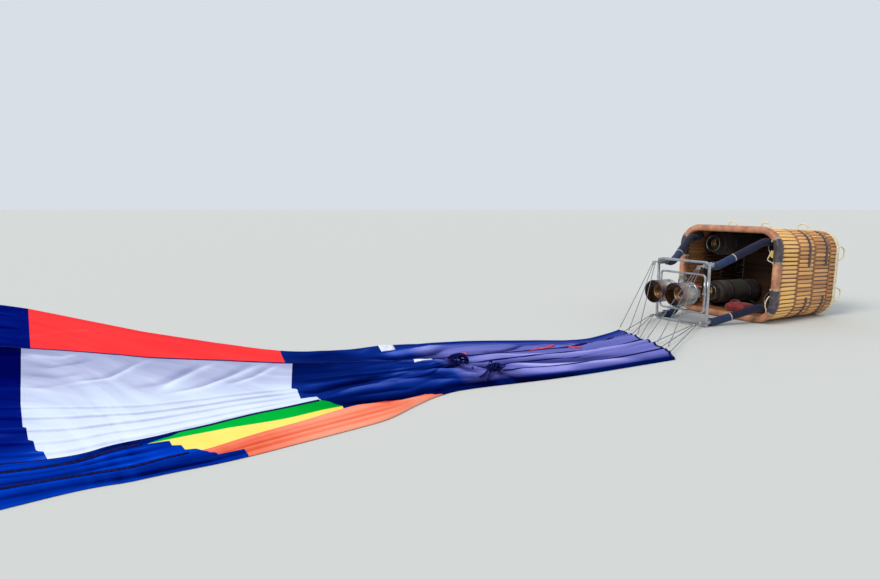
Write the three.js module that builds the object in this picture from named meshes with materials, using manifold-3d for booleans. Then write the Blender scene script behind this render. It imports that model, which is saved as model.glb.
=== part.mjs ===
// A hot air balloon laid out on the ground before it is inflated: the basket lies on its long side,
// the burner frame stands before its open top, and the flying wires run to the mouth of the
// deflated envelope, which fans out over the ground to its crown. Millimetres, +Z up.
import * as THREE from "three";
import { mergeVertices } from "three/addons/utils/BufferGeometryUtils.js";
import Module from "manifold-3d";

const wasm = await Module();
wasm.setup();

// Driving dimensions
const gap = 0.3;                       // clearance between pieces that touch
const fieldCentre = { x: -6783.1, y: 4700 };  // middle of the whole layout on the ground
const basket = {
  across: 1400, high: 1140, deep: 1230,   // over the rim: long side, short side, rim to floor
  cornerRadius: 270, rimOut: 20, wall: 32, rimIn: 30, rimLength: 95,
  taper: 0.045,                           // how much smaller the floor end is
  heading: THREE.MathUtils.degToRad(29.6), x: 3564, y: 8089,
};
const floorThick = 36;
const skid = { wide: 70, thick: 38, long: 1180, places: [-300, 0, 300] };
const cylinder = { radius: 150, long: 900, collarRadius: 105, collarLong: 75 };
const frame = { size: 760, tube: 30, corner: 70, before: 800 };
const ring = { across: 660, high: 460, tube: 24, corner: 50 };
const can = { radius: 132, long: 270, thick: 2.5, spacing: 150, start: 40 };
const pole = { radius: 46, inside: 165, clear: 10, seat: 3.8 };
const wireRadius = 4;
const crownRing = { radius: 150, bar: 11 };

// The envelope on the ground. One row a rib, from the mouth to the crown: distance along the gores,
// the far end and the near end of the rib, and where the four seams cross it (0 far, 1 near).
const ribs = [
  // s, farX, farY, nearX, nearY, seam1, seam2, seam3, seam4
  [0, 1900, 7000, 2150, 5850, 0.25, 0.5, 0.67, 0.84],
  [750, 1450, 6530, 1200, 5330, 0.3, 0.55, 0.7, 0.85],
  [1900, 200, 6480, 190, 4890, 0.38, 0.7, 0.8, 0.9],
  [2400, -240, 6350, -20, 4740, 0.34, 0.77, 0.86, 0.945],
  [2750, -560, 6150, -170, 4520, 0.27, 0.79, 0.87, 0.95],
  [3200, -950, 5960, -360, 4220, 0.2, 0.78, 0.86, 0.92],
  [3700, -1500, 5990, -840, 3800, 0.175, 0.745, 0.862, 0.905],
  [4450, -2330, 6540, -1240, 3460, 0.27, 0.82, 0.865, 0.955],
  [4800, -2800, 6820, -1450, 3330, 0.3, 0.86, 0.885, 0.965],
  [5150, -3250, 7090, -1600, 3230, 0.32, 0.88, 0.9, 0.968],
  [6800, -5390, 8460, -1950, 3020, 0.4, 0.93, 0.95, 0.975],
  [8200, -6700, 9150, -3300, 1900, 0.34, 0.8, 0.87, 0.94],
  [9600, -8000, 9800, -4700, 750, 0.28, 0.66, 0.78, 0.89],
  [11000, -9300, 10250, -6200, -200, 0.23, 0.54, 0.7, 0.85],
  [12500, -10800, 10500, -7900, -850, 0.21, 0.46, 0.65, 0.83],
  [14000, -12300, 10450, -9600, -1100, 0.2, 0.42, 0.62, 0.81],
  [15500, -13800, 10050, -11400, -800, 0.2, 0.4, 0.6, 0.8],
  [17000, -15300, 9200, -13200, 200, 0.2, 0.4, 0.6, 0.8],
  [18800, -17000, 7700, -15500, 2000, 0.2, 0.4, 0.6, 0.8],
  [20000, -18000, 6400, -17000, 3400, 0.2, 0.4, 0.6, 0.8],
  [21000, -18600, 5500, -18050, 4350, 0.2, 0.4, 0.6, 0.8],
];

// Cloth pieces: each goes out along its far seam through the given stations and comes back along its
// near seam. Seams are 0, the far edge, to 5, the near edge. Heights are of the folded cloth.
const cloth = [
  // name, colour, height, edge bevel, [seam, from s, to s] far to near
  ["envelope_skirt", 0x6f70b4, 130, 24, [[0, 0, 1900], [5, 0, 1900]]],
  ["envelope_throat", 0x1b2560, 115, 14,
    [[0, 1900, 3700], [1, null, 3650], [2, null, 3450], [3, null, 3420], [4, null, 3400], [4, null, 3200],
      [4, null, 2750], [4, null, 2450], [5, 1900, 2400]]],
  ["panel_red", 0xe23b38, 70, 14, [[0, 3700, 6800], [1, 3650, 6850]]],
  ["panel_white", 0xe8e6f2, 60, 14, [[1, 3650, 6850], [2, 3450, 6700]]],
  ["panel_green", 0x149a4c, 80, 8, [[2, 3450, 4700], [3, 3420, 5000]]],
  ["panel_yellow", 0xf4d35e, 75, 6, [[3, 3420, 5000], [4, 3400, 4550]]],
  ["panel_orange", 0xf2703d, 80, 8, [[4, 2450, 4550], [5, 2400, 4150]]],
  ["envelope_far_gores", 0x1b2a78, 55, 14, [[0, 6800, 12500], [1, 6850, null], [2, 6700, 12500]]],
  ["envelope_near_gores", 0x1b2a78, 65, 14,
    [[2, 4700, 12500], [3, 5000, null], [4, 4550, null], [5, 4150, 12500]]],
  ["envelope_shoulder", 0x1b2a78, 50, 14, [[0, 12500, 18800], [5, 12500, 18800]]],
  ["crown_valve", 0x1b2a78, 45, 14, [[0, 18800, 21000], [5, 18800, 21000]]],
];

// Materials
const finish = (color, roughness, metalness = 0) =>
  new THREE.MeshStandardMaterial({ color, roughness, metalness });
const steel = () => finish(0xb9bcc0, 0.32, 1);
const leather = () => finish(0xa5714e, 0.6);
const darkLeather = () => finish(0x2a2b3a, 0.65);
const willow = () => finish(0xb98a4e, 0.75);
const rope = () => finish(0xe9dfc4, 0.85);

const field = new THREE.Group();
field.position.set(-fieldCentre.x, -fieldCentre.y, 0);

function piece(parent, name, geometry, material) {
  const mesh = new THREE.Mesh(geometry, material);
  mesh.name = name;
  parent.add(mesh);
  return mesh;
}

// Solids for joining and cutting
function toSolid(geometry) {
  const bare = geometry.clone();
  bare.deleteAttribute("normal");
  bare.deleteAttribute("uv");
  const merged = mergeVertices(bare, 1e-3);
  return new wasm.Manifold(new wasm.Mesh({
    numProp: 3,
    vertProperties: new Float32Array(merged.attributes.position.array),
    triVerts: new Uint32Array(merged.index.array),
  }));
}

function fromSolid(solid) {
  const mesh = solid.getMesh();
  const geometry = new THREE.BufferGeometry();
  geometry.setAttribute("position", new THREE.BufferAttribute(mesh.vertProperties.slice(), 3));
  geometry.setIndex(new THREE.BufferAttribute(mesh.triVerts.slice(), 1));
  geometry.computeVertexNormals();
  return geometry;
}

function join(geometries) {
  return fromSolid(geometries.map(toSolid).reduce((whole, next) => whole.add(next)));
}

// A rounded rectangle about the middle, as a Shape or as a hole
function roundedOutline(outline, wide, high, radius) {
  const x = wide / 2;
  const y = high / 2;
  const r = Math.min(radius, x, y);
  outline.moveTo(x, -y + r);
  outline.lineTo(x, y - r);
  outline.absarc(x - r, y - r, r, 0, Math.PI / 2, false);
  outline.lineTo(-x + r, y);
  outline.absarc(-x + r, y - r, r, Math.PI / 2, Math.PI, false);
  outline.lineTo(-x, -y + r);
  outline.absarc(-x + r, -y + r, r, Math.PI, Math.PI * 1.5, false);
  outline.lineTo(x - r, -y);
  outline.absarc(x - r, -y + r, r, Math.PI * 1.5, Math.PI * 2, false);
  return outline;
}

// A rounded ring or plate in the YZ plane, from x = start to start + length, its edges rounded by
// bevel. thick is the ring's wall, or null for a plate.
function roundedRing(wide, high, radius, thick, start, length, bevel = 0, segments = 1, curve = 3) {
  const shape = roundedOutline(new THREE.Shape(), wide - 2 * bevel, high - 2 * bevel, radius - bevel);
  if (thick !== null) {
    const inner = thick - bevel;
    shape.holes.push(roundedOutline(new THREE.Path(), wide - 2 * inner, high - 2 * inner, radius - inner));
  }
  const geometry = new THREE.ExtrudeGeometry(shape, {
    depth: length - 2 * bevel,
    bevelEnabled: bevel > 0,
    bevelSize: bevel,
    bevelThickness: bevel,
    bevelSegments: segments,
    curveSegments: curve,
  });
  geometry.translate(0, 0, bevel);
  geometry.rotateX(Math.PI / 2);
  geometry.rotateZ(Math.PI / 2);
  geometry.translate(start, 0, 0);
  return geometry;
}

// A round bar along a curve
function bar(curve, radius, steps, sides = 8) {
  const section = new THREE.Shape();
  section.absarc(0, 0, radius, 0, Math.PI * 2, false);
  return new THREE.ExtrudeGeometry(section, { extrudePath: curve, steps, curveSegments: sides / 2 });
}

function straightBar(from, to, radius, sides = 8) {
  return bar(new THREE.LineCurve3(from, to), radius, 1, sides);
}

const at = (x, y, z) => new THREE.Vector3(x, y, z);

// The layout's groups: the rig turns with the basket, and the basket leans from its rim to the
// smaller floor end, which lies on the ground too
const rig = new THREE.Group();
rig.position.set(basket.x, basket.y, 0);
rig.rotation.z = basket.heading;
field.add(rig);

const wallAcross = basket.across - 2 * basket.rimOut;
const wallHigh = basket.high - 2 * basket.rimOut;
const wallRadius = basket.cornerRadius - basket.rimOut;
const edgingThick = 9;
const wallStart = basket.rimLength * 0.4;
const floorHalfHigh = (wallHigh / 2) * (1 - basket.taper) + edgingThick;
const lean = Math.atan((basket.high / 2 - floorHalfHigh) / basket.deep);
const basketGroup = new THREE.Group();
basketGroup.rotation.y = lean;
basketGroup.position.z = basket.high / 2 + 1.1;
rig.add(basketGroup);

// The walls draw in towards the floor
function drawIn(geometry) {
  const position = geometry.attributes.position;
  for (let i = 0; i < position.count; i += 1) {
    const k = 1 - basket.taper * Math.max(0, position.getX(i)) / basket.deep;
    position.setY(i, position.getY(i) * k);
    position.setZ(i, position.getZ(i) * k);
  }
  return geometry;
}

function makeBasket() {
  const wall = roundedRing(wallAcross, wallHigh, wallRadius, basket.wall, wallStart + gap,
    basket.deep - wallStart - gap);
  piece(basketGroup, "basket_wall", drawIn(wall), willow());

  const clear = basket.wall + gap;
  const floor = roundedRing(wallAcross - 2 * clear, wallHigh - 2 * clear, wallRadius - clear, null,
    basket.deep - floorThick, floorThick);
  piece(basketGroup, "basket_floor", drawIn(floor), finish(0x5a3c26, 0.8));

  skid.places.forEach((z, i) => {
    const runner = new THREE.BoxGeometry(skid.thick, skid.long, skid.wide);
    runner.translate(basket.deep + gap + skid.thick / 2, 0, z);
    piece(basketGroup, `floor_skid_${i + 1}`, runner, finish(0x8a6238, 0.8));
  });
}

// Padded leather roll over the top of the walls, with a darker guard laced on near each corner
const rollThick = basket.rimOut + basket.wall + basket.rimIn;
const rollStart = wallStart - basket.rimLength;

function makeRim() {
  const rollBevel = 30;
  const roll = roundedRing(basket.across, basket.high, basket.cornerRadius, rollThick, rollStart,
    basket.rimLength, rollBevel, 2);
  piece(basketGroup, "rim_roll", roll, leather());

  const guardThick = 4;
  const guardLong = 300;
  const guardLow = 120;
  const outer = toSolid(roundedRing(basket.across + 2 * guardThick, basket.high + 2 * guardThick,
    basket.cornerRadius + guardThick, rollThick + 2 * guardThick, rollStart - guardThick,
    basket.rimLength, rollBevel, 2));
  const inner = toSolid(roundedRing(basket.across + 2 * gap, basket.high + 2 * gap,
    basket.cornerRadius + gap, rollThick + 2 * gap, rollStart - gap,
    basket.rimLength + 20, rollBevel, 2));
  const sleeve = outer.subtract(inner);
  [["near_top", -1, 1], ["far_top", 1, 1], ["near_low", -1, -1], ["far_low", 1, -1]].forEach(
    ([place, side, up]) => {
      const box = new THREE.BoxGeometry(200, 260, guardLong);
      const middle = basket.high / 2 - guardLow - guardLong / 2;
      box.translate(0, side * basket.across / 2, up * middle);
      piece(basketGroup, `rim_guard_${place}`, fromSolid(sleeve.intersect(toSolid(box))), darkLeather());
    });
}

// Rawhide edging round the floor end, with a rope loop at each corner, and rope handles through the
// wall that is on top
function makeRopes() {
  const edgingWide = 60;
  const loopRadius = 9;
  const edge = (thick, start, length) => roundedRing(
    wallAcross + 2 * (thick + gap), wallHigh + 2 * (thick + gap), wallRadius + thick + gap,
    thick, start, length);
  const edging = edge(edgingThick, basket.deep - edgingWide, edgingWide);
  const outside = wallAcross / 2 + loopRadius + gap + 1;
  const loops = [];
  for (const side of [-1, 1]) {
    for (const up of [-1, 1]) {
      const y = side * outside;
      const z = up * 270;
      loops.push(bar(new THREE.CatmullRomCurve3([
        at(basket.deep - 40, y, z - 75), at(basket.deep + 20, y, z - 85), at(basket.deep + 95, y, z - 45),
        at(basket.deep + 95, y, z + 45), at(basket.deep + 20, y, z + 85), at(basket.deep - 40, y, z + 75),
      ]), loopRadius, 12));
    }
  }
  piece(basketGroup, "floor_edging", drawIn(join([edging, ...loops])), rope());

  const handleWide = 130;
  const handleHigh = 72;
  [-500, 0, 500].forEach((y, i) => {
    const top = wallHigh / 2 + gap;
    const x = 700;
    const handle = bar(new THREE.CatmullRomCurve3([
      at(x, y - handleWide / 2, top), at(x, y - handleWide / 2, top + handleHigh * 0.55),
      at(x, y - handleWide / 4, top + handleHigh), at(x, y + handleWide / 4, top + handleHigh),
      at(x, y + handleWide / 2, top + handleHigh * 0.55), at(x, y + handleWide / 2, top),
    ]), loopRadius, 12);
    piece(basketGroup, `rope_handle_${i + 1}`, drawIn(handle), rope());
  });
}

// Fuel cylinders in padded covers, a foot on the floor in each corner, a valve collar to the rim
function makeCylinders() {
  const { radius, long, collarRadius, collarLong } = cylinder;
  const profile = [
    [0, 12], [radius * 0.6, 12], [radius * 0.62, 0], [radius * 0.72, 0], [radius * 0.78, 30],
    [radius * 0.97, 70], [radius, 110], [radius, long - 130], [radius * 0.95, long - 95],
    [radius * 0.72, long - 62], [collarRadius, long - 52], [collarRadius, long - 52 + collarLong],
    [collarRadius - 6, long - 52 + collarLong], [collarRadius - 6, long - 44], [22, long - 38],
    [22, long + 10], [0, long + 10],
  ].map(([r, y]) => new THREE.Vector2(r, y));
  [["near_top", -1, 1], ["far_top", 1, 1], ["near_low", -1, -1], ["far_low", 1, -1]].forEach(
    ([place, side, up]) => {
      const body = new THREE.LatheGeometry(profile, 18);
      body.rotateZ(Math.PI / 2);
      body.translate(basket.deep - floorThick - gap, side * 446, up * 322);
      piece(basketGroup, `fuel_cylinder_${place}`, body, finish(0x3a2a20, 0.7));
    });
}

// Loose things kept by the rim: a red bag on the wall that is underneath, a yellow pouch hung high
function makeKit() {
  const bag = roundedRing(300, 120, 50, null, 0, 260, 20, 1, 2);
  const lowWall = wallHigh / 2 - basket.wall;
  bag.translate(150, -20, -lowWall + 60 + gap);
  piece(basketGroup, "red_bag", drawIn(bag), finish(0xb3202a, 0.7));
  const nearWall = wallAcross / 2 - basket.wall;
  const pouch = roundedRing(110, 90, 30, null, 0, 60, 14, 1, 2);
  pouch.translate(wallStart + 12, -nearWall + 55 + gap, 240);
  piece(basketGroup, "yellow_pouch", drawIn(pouch), finish(0xf0c040, 0.7));
}

// Burner frame: a square of steel tube with a pole socket and a wire lug at each corner
const frameX = -frame.before;
const frameZ = frame.size / 2 + gap;
const corners = [["near_top", -1, 1], ["far_top", 1, 1], ["near_low", -1, -1], ["far_low", 1, -1]];
const socket = { inset: 52, radius: 30, long: 90 };
const lug = { thick: 8, wide: 44, long: 62, hole: 12 };
const lugHoleX = -lug.long + 20;

function makeBurnerFrame() {
  const half = frame.size / 2;
  const solids = [roundedRing(frame.size, frame.size, frame.corner, frame.tube, -frame.tube / 2,
    frame.tube, 8, 1, 2)];
  corners.forEach(([, side, up]) => {
    const y = side * (half - socket.inset);
    const z = up * (half - socket.inset);
    solids.push(straightBar(at(-10, y, z), at(socket.long, y, z), socket.radius, 12));
    const plate = new THREE.BoxGeometry(lug.long, lug.thick, lug.wide);
    plate.translate(-lug.long / 2, y, z);
    solids.push(plate);
    const web = new THREE.BoxGeometry(frame.tube - 6, 60, 60);
    web.translate(0, side * (half - socket.inset + 10), up * (half - socket.inset + 10));
    solids.push(web);
  });
  for (const side of [-1, 1]) {
    const boss = half - frame.tube;
    solids.push(straightBar(at(0, side * (boss + 2), 0), at(0, side * (boss - 8), 0), 20, 12));
  }
  let whole = solids.map(toSolid).reduce((a, b) => a.add(b));
  corners.forEach(([, side, up]) => {
    const y = side * (half - socket.inset);
    const z = up * (half - socket.inset);
    const hole = straightBar(at(lugHoleX, y - 20, z), at(lugHoleX, y + 20, z), lug.hole, 12);
    whole = whole.subtract(toSolid(hole));
  });
  const geometry = fromSolid(whole);
  geometry.translate(frameX, 0, frameZ);
  piece(rig, "burner_frame", geometry, steel());
}

// Gimbal: a ring that turns on two pins in the frame, and carries the burner on two pins of its own
function makeGimbal() {
  const solids = [roundedRing(ring.across, ring.high, ring.corner, ring.tube, -ring.tube / 2,
    ring.tube, 7, 1, 2)];
  const framePin = frame.size / 2 - frame.tube - 8 - gap;
  for (const side of [-1, 1]) {
    solids.push(straightBar(at(0, side * (ring.across / 2 - 4), 0), at(0, side * framePin, 0), 9, 12));
    const inside = ring.high / 2 - ring.tube;
    solids.push(straightBar(at(0, 0, side * (inside + 4)), at(0, 0, side * (inside - 22)), 9, 12));
  }
  const geometry = join(solids);
  geometry.translate(frameX, 0, frameZ);
  piece(rig, "gimbal_ring", geometry, steel());
}

// Double burner: a valve block across the ring, two open cans that point to the mouth, and a
// vaporising coil in each
function makeBurner() {
  const blockHigh = 2 * (ring.high / 2 - ring.tube - 22 - gap);
  const spine = new THREE.BoxGeometry(46, 60, blockHigh);
  const beam = new THREE.BoxGeometry(52, 470, 90);
  const parts = [spine, beam];
  for (const side of [-1, 1]) {
    const y = side * can.spacing;
    parts.push(straightBar(at(-can.start + gap, y, 0), at(80, y, 0), 36, 12));
    parts.push(straightBar(at(60, y, -55), at(60, y, 70), 13, 8));
    parts.push(straightBar(at(60, y - 70, 70), at(60, y + 70, 70), 10, 8));
  }
  const block = join(parts);
  block.translate(frameX, 0, frameZ);
  piece(rig, "burner_block", block, finish(0x9a9c9f, 0.4, 1));

  ["near", "far"].forEach((place, i) => {
    const y = (i === 0 ? -1 : 1) * can.spacing;
    const outer = can.radius;
    const shell = new THREE.LatheGeometry([
      [0, 0], [outer - 8, 0], [outer, 8], [outer, can.long], [outer - can.thick, can.long],
      [outer - can.thick, 9], [outer - 9, can.thick], [0, can.thick],
    ].map(([r, h]) => new THREE.Vector2(r, h)), 20);
    shell.rotateZ(Math.PI / 2);
    shell.translate(frameX - can.start, y, frameZ);
    piece(rig, `burner_can_${place}`, shell, steel());

    const coilRadius = 86;
    const coilWall = 14;
    const coil = new THREE.LatheGeometry([
      [0, can.thick + gap], [coilRadius, can.thick + gap], [coilRadius, 190],
      [coilRadius - coilWall, 190], [coilRadius - coilWall, 30], [0, 30],
    ].map(([r, h]) => new THREE.Vector2(r, h)), 16);
    coil.rotateZ(Math.PI / 2);
    coil.translate(frameX - can.start, y, frameZ);
    piece(rig, `burner_coil_${place}`, coil, finish(0xa77b52, 0.45, 1));
  });
}

// Nylon poles in padded sleeves, from the basket's corners to the sockets of the burner frame
function makePoles() {
  basketGroup.updateMatrix();
  const arcY = basket.across / 2 - basket.cornerRadius;
  const arcZ = basket.high / 2 - basket.cornerRadius;
  const atRoll = basket.cornerRadius - rollThick - pole.radius - pole.clear;
  const atWall = wallRadius - basket.wall - pole.radius - pole.seat;
  const half = frame.size / 2 - socket.inset;
  corners.forEach(([place, side, up]) => {
    const inBasket = (x, reach) => {
      const out = reach * Math.SQRT1_2;
      return at(x, side * (arcY + out), up * (arcZ + out)).applyMatrix4(basketGroup.matrix);
    };
    const rim = inBasket(rollStart - 40, atRoll - 14);
    const head = at(frameX + socket.long + gap, side * half, frameZ + up * half);
    const beforeHead = at(frameX + socket.long + 120, side * half, frameZ + up * half);
    const path = new THREE.CatmullRomCurve3([inBasket(pole.inside, atWall), inBasket(0, atRoll), rim,
      rim.clone().lerp(beforeHead, 0.5), beforeHead, head], false, "centripetal");
    piece(rig, `pole_${place}`, bar(path, pole.radius, 14, 12), finish(0x232b52, 0.75));
  });
}

// Karabiners through the lugs, each with three flying wires to the mouth
function makeRigging() {
  rig.updateMatrix();
  const karabiner = { long: 105, wide: 60, bar: 10 };
  const half = frame.size / 2 - socket.inset;
  const clip = roundedRing(karabiner.wide, karabiner.long, karabiner.wide / 2, karabiner.bar,
    -karabiner.bar / 2, karabiner.bar, 3);
  clip.rotateY(Math.PI / 2);
  const seat = lugHoleX - (lug.hole - 1 - karabiner.bar - gap) - karabiner.long / 2;
  const mouthEdge = acrossRib(ribs[0], 1).sub(acrossRib(ribs[0], 0)).normalize();
  const mouthNormal = at(-mouthEdge.y, mouthEdge.x, 0);
  corners.forEach(([place, side, up]) => {
    const middle = at(frameX + seat, side * half, frameZ + up * half);
    const hook = clip.clone();
    hook.translate(middle.x, middle.y, middle.z);
    piece(rig, `karabiner_${place}`, hook, steel());
    const toBend = at((karabiner.wide - karabiner.long) / 2, 0, 0);
    const bend = middle.clone().add(toBend).applyMatrix4(rig.matrix);
    const mouthAt = (step) => {
      const onRib = acrossRib(ribs[0], 0.5 - side * (0.08 + 0.16 * (step * side + 1)));
      return at(onRib.x, onRib.y, up > 0 ? 100 : 28);
    };
    const aim = mouthAt(0).sub(bend).setZ(0).normalize();
    [-1, 0, 1].forEach((step, i) => {
      const to = mouthAt(step);
      const round = aim.clone().applyAxisAngle(at(0, 0, 1), -step * 0.42);
      const from = bend.clone().addScaledVector(round, karabiner.wide / 2);
      const along = to.clone().sub(from).normalize();
      const clearOf = (normal) => wireRadius * Math.sqrt(1 - along.dot(normal) ** 2) + gap;
      from.addScaledVector(round, clearOf(round));
      to.addScaledVector(along, -clearOf(mouthNormal) / Math.abs(along.dot(mouthNormal)));
      piece(field, `flying_wire_${place}_${i + 1}`, straightBar(from, to, wireRadius, 8),
        finish(0x8d9095, 0.4, 1));
    });
  });
}

// Places on the envelope: a point across one rib, and a seam's point at a distance s, which lies on the
// straight line between the ribs next to it. Seam 0 is the far edge and seam 5 the near edge.
function acrossRib(row, t) {
  const [, farX, farY, nearX, nearY] = row;
  return new THREE.Vector2(farX + t * (nearX - farX), farY + t * (nearY - farY));
}

function seamPoint(s, seam) {
  const next = Math.max(1, ribs.findIndex((row) => row[0] >= s));
  const onRib = (row) => acrossRib(row, [0, ...row.slice(5), 1][seam]);
  const [low, high] = [ribs[next - 1], ribs[next]];
  return onRib(low).lerp(onRib(high), (s - low[0]) / (high[0] - low[0]));
}

// The seam's points from one distance to another, with every rib between them
function alongSeam(seam, from, to) {
  const stations = ribs.map((row) => row[0]).filter((s) => s > Math.min(from, to) && s < Math.max(from, to));
  const ordered = [Math.min(from, to), ...stations, Math.max(from, to)];
  const points = ordered.map((s) => seamPoint(s, seam));
  return from <= to ? points : points.reverse();
}

// Moves every side of a closed outline in by the same distance
function inset(points, distance) {
  const turn = Math.sign(THREE.ShapeUtils.area(points));
  return points.map((point, i) => {
    const before = points[(i + points.length - 1) % points.length];
    const after = points[(i + 1) % points.length];
    const a = point.clone().sub(before).normalize();
    const b = after.clone().sub(point).normalize();
    const normalA = new THREE.Vector2(-a.y, a.x);
    const normalB = new THREE.Vector2(-b.y, b.x);
    const bisector = normalA.clone().add(normalB).normalize();
    const reach = Math.max(0.35, bisector.dot(normalA));
    return point.clone().addScaledVector(bisector, turn * distance / reach);
  });
}

function clothOutline(sides) {
  const first = sides[0];
  const last = sides[sides.length - 1];
  const between = sides.slice(1, -1);
  const crown = between.filter(([, , to]) => to !== null).map(([seam, , to]) => seamPoint(to, seam));
  const mouth = between.filter(([, from]) => from !== null).map(([seam, from]) => seamPoint(from, seam));
  return [
    ...alongSeam(first[0], first[1], first[2]), ...crown,
    ...alongSeam(last[0], last[2], last[1]), ...mouth.reverse(),
  ];
}

// A slab on the ground over an outline, half a clearance inside it, its upper edge drawn in by bevel
function slab(points, height, bevel) {
  const outline = THREE.ShapeUtils.area(points) > 0 ? points : points.slice().reverse();
  const clear = gap / 2 + 0.05;
  const foot = inset(outline, clear);
  const top = inset(outline, clear + bevel);
  const count = foot.length;
  const rings = [[foot, 0], [foot, height - bevel], [top, height]];
  const positions = rings.flatMap(([ring, z]) => ring.flatMap((point) => [point.x, point.y, z]));
  const index = [];
  for (const level of [0, 1]) {
    for (let i = 0; i < count; i += 1) {
      const a = level * count + i;
      const b = level * count + (i + 1) % count;
      index.push(a, b, b + count, a, b + count, a + count);
    }
  }
  THREE.ShapeUtils.triangulateShape(foot, []).forEach(([a, b, c]) => {
    index.push(c, b, a, a + 2 * count, b + 2 * count, c + 2 * count);
  });
  const geometry = new THREE.BufferGeometry();
  geometry.setAttribute("position", new THREE.Float32BufferAttribute(positions, 3));
  geometry.setIndex(index);
  const flat = geometry.toNonIndexed();
  flat.computeVertexNormals();
  return flat;
}

function makeEnvelope() {
  cloth.forEach(([name, colour, height, bevel, sides]) => {
    piece(field, name, slab(clothOutline(sides), height, bevel), finish(colour, 0.55));
  });
  const crown = ribs[ribs.length - 1];
  const end = acrossRib(crown, 0.5);
  const edge = acrossRib(crown, 1).sub(acrossRib(crown, 0)).normalize();
  const out = crownRing.radius + crownRing.bar + gap;
  const hoop = new THREE.TorusGeometry(crownRing.radius, crownRing.bar, 6, 20);
  hoop.rotateZ(Math.atan2(-edge.x, edge.y));
  hoop.translate(end.x + edge.y * out, end.y - edge.x * out, crownRing.bar * Math.sin(Math.PI / 3));
  piece(field, "crown_ring", hoop, finish(0xc4c6c9, 0.35, 1));
}

makeBasket();
makeRim();
makeRopes();
makeCylinders();
makeKit();
makeBurnerFrame();
makeGimbal();
makeBurner();
makePoles();
makeRigging();
makeEnvelope();

export default field;
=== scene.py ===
import random
from math import atan, atan2, copysign, cos, exp, hypot, pi, radians, sin, sqrt, tau
import bmesh
import bpy
from mathutils import Matrix, Vector, noise


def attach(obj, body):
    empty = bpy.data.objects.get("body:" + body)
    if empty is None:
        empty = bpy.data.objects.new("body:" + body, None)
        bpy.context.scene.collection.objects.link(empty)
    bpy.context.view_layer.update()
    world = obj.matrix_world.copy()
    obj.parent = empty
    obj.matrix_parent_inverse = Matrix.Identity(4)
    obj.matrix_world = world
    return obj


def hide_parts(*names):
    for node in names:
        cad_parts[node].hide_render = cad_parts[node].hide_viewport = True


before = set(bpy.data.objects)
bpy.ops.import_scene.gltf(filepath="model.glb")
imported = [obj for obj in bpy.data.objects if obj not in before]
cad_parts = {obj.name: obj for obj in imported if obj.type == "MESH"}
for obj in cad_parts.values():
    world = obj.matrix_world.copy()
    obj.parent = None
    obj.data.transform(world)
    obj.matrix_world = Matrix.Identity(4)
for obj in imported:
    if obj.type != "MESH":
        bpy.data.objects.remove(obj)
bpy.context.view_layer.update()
scene = bpy.context.scene

# The camera's eye is 1.45 m above the ground at the photograph's angle: it looks along the layout's +Y and
# dips a little. Places on the cloth are measured from the ground under it.
eye = Vector((6.7831, -4.7, 1.45))
camera_dip = 7.781


def added(name, data):
    """A new object in the scene."""
    made = bpy.data.objects.new(name, data)
    scene.collection.objects.link(made)
    return made


camera_data = bpy.data.cameras.new("camera")
camera_data.lens = 26.8
camera_data.clip_end = 200
camera = added("camera", camera_data)
camera.location = eye
camera.rotation_euler = (radians(90 - camera_dip), 0, 0)
scene.camera = camera

# The floor is a plain pale sheet under everything, in soft studio light: a bright sky all round and one
# large low sun from the left behind the camera, which gives the folds of the cloth their shade.
scene.view_settings.view_transform = "Standard"


def srgb(red, green, blue):
    """A screen colour, 0 to 255, in the linear values that a material takes."""
    shares = (red / 255, green / 255, blue / 255)
    return tuple(c / 12.92 if c <= 0.0404 else ((c + 0.055) / 1.055) ** 2.4 for c in shares)


def shader_of(material):
    """The material's one shader."""
    return material.node_tree.nodes["Principled BSDF"]


def finish(name, colour, roughness, metallic=0.0, sockets=()):
    """A new material with its screen colour and its gloss on the shader itself."""
    material = bpy.data.materials.new(name)
    material.use_nodes = True
    material.diffuse_color = shown = (*srgb(*colour), 1)
    values = {"Base Color": shown, "Roughness": roughness, "Metallic": metallic, **dict(sockets)}
    for socket, value in values.items():
        shader_of(material).inputs[socket].default_value = value
    return material


def built(name, bm):
    """A new object from a finished mesh."""
    mesh = bpy.data.meshes.new(name)
    bm.to_mesh(mesh)
    bm.free()
    return added(name, mesh)


floor_grid = bmesh.new()
bmesh.ops.create_grid(floor_grid, x_segments=1, y_segments=1, size=90)
floor = built("floor", floor_grid)
floor.data.materials.append(finish("floor_paint", (206, 207, 203), 0.9))

sky = bpy.data.worlds.new("sky")
sky.use_nodes = True
sky.node_tree.nodes["Background"].inputs["Color"].default_value = (0.86, 0.92, 1.0, 1)
sky.node_tree.nodes["Background"].inputs["Strength"].default_value = 0.8
scene.world = sky
sun_data = bpy.data.lights.new("sun", "SUN")
sun_data.energy = 2.0
sun_data.angle = radians(25)
sun_data.color = (1.0, 0.95, 0.87)
sun = added("sun", sun_data)
sun.rotation_euler = Vector((-0.62, -0.5, 0.6)).to_track_quat("Z", "Y").to_euler()

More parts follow.
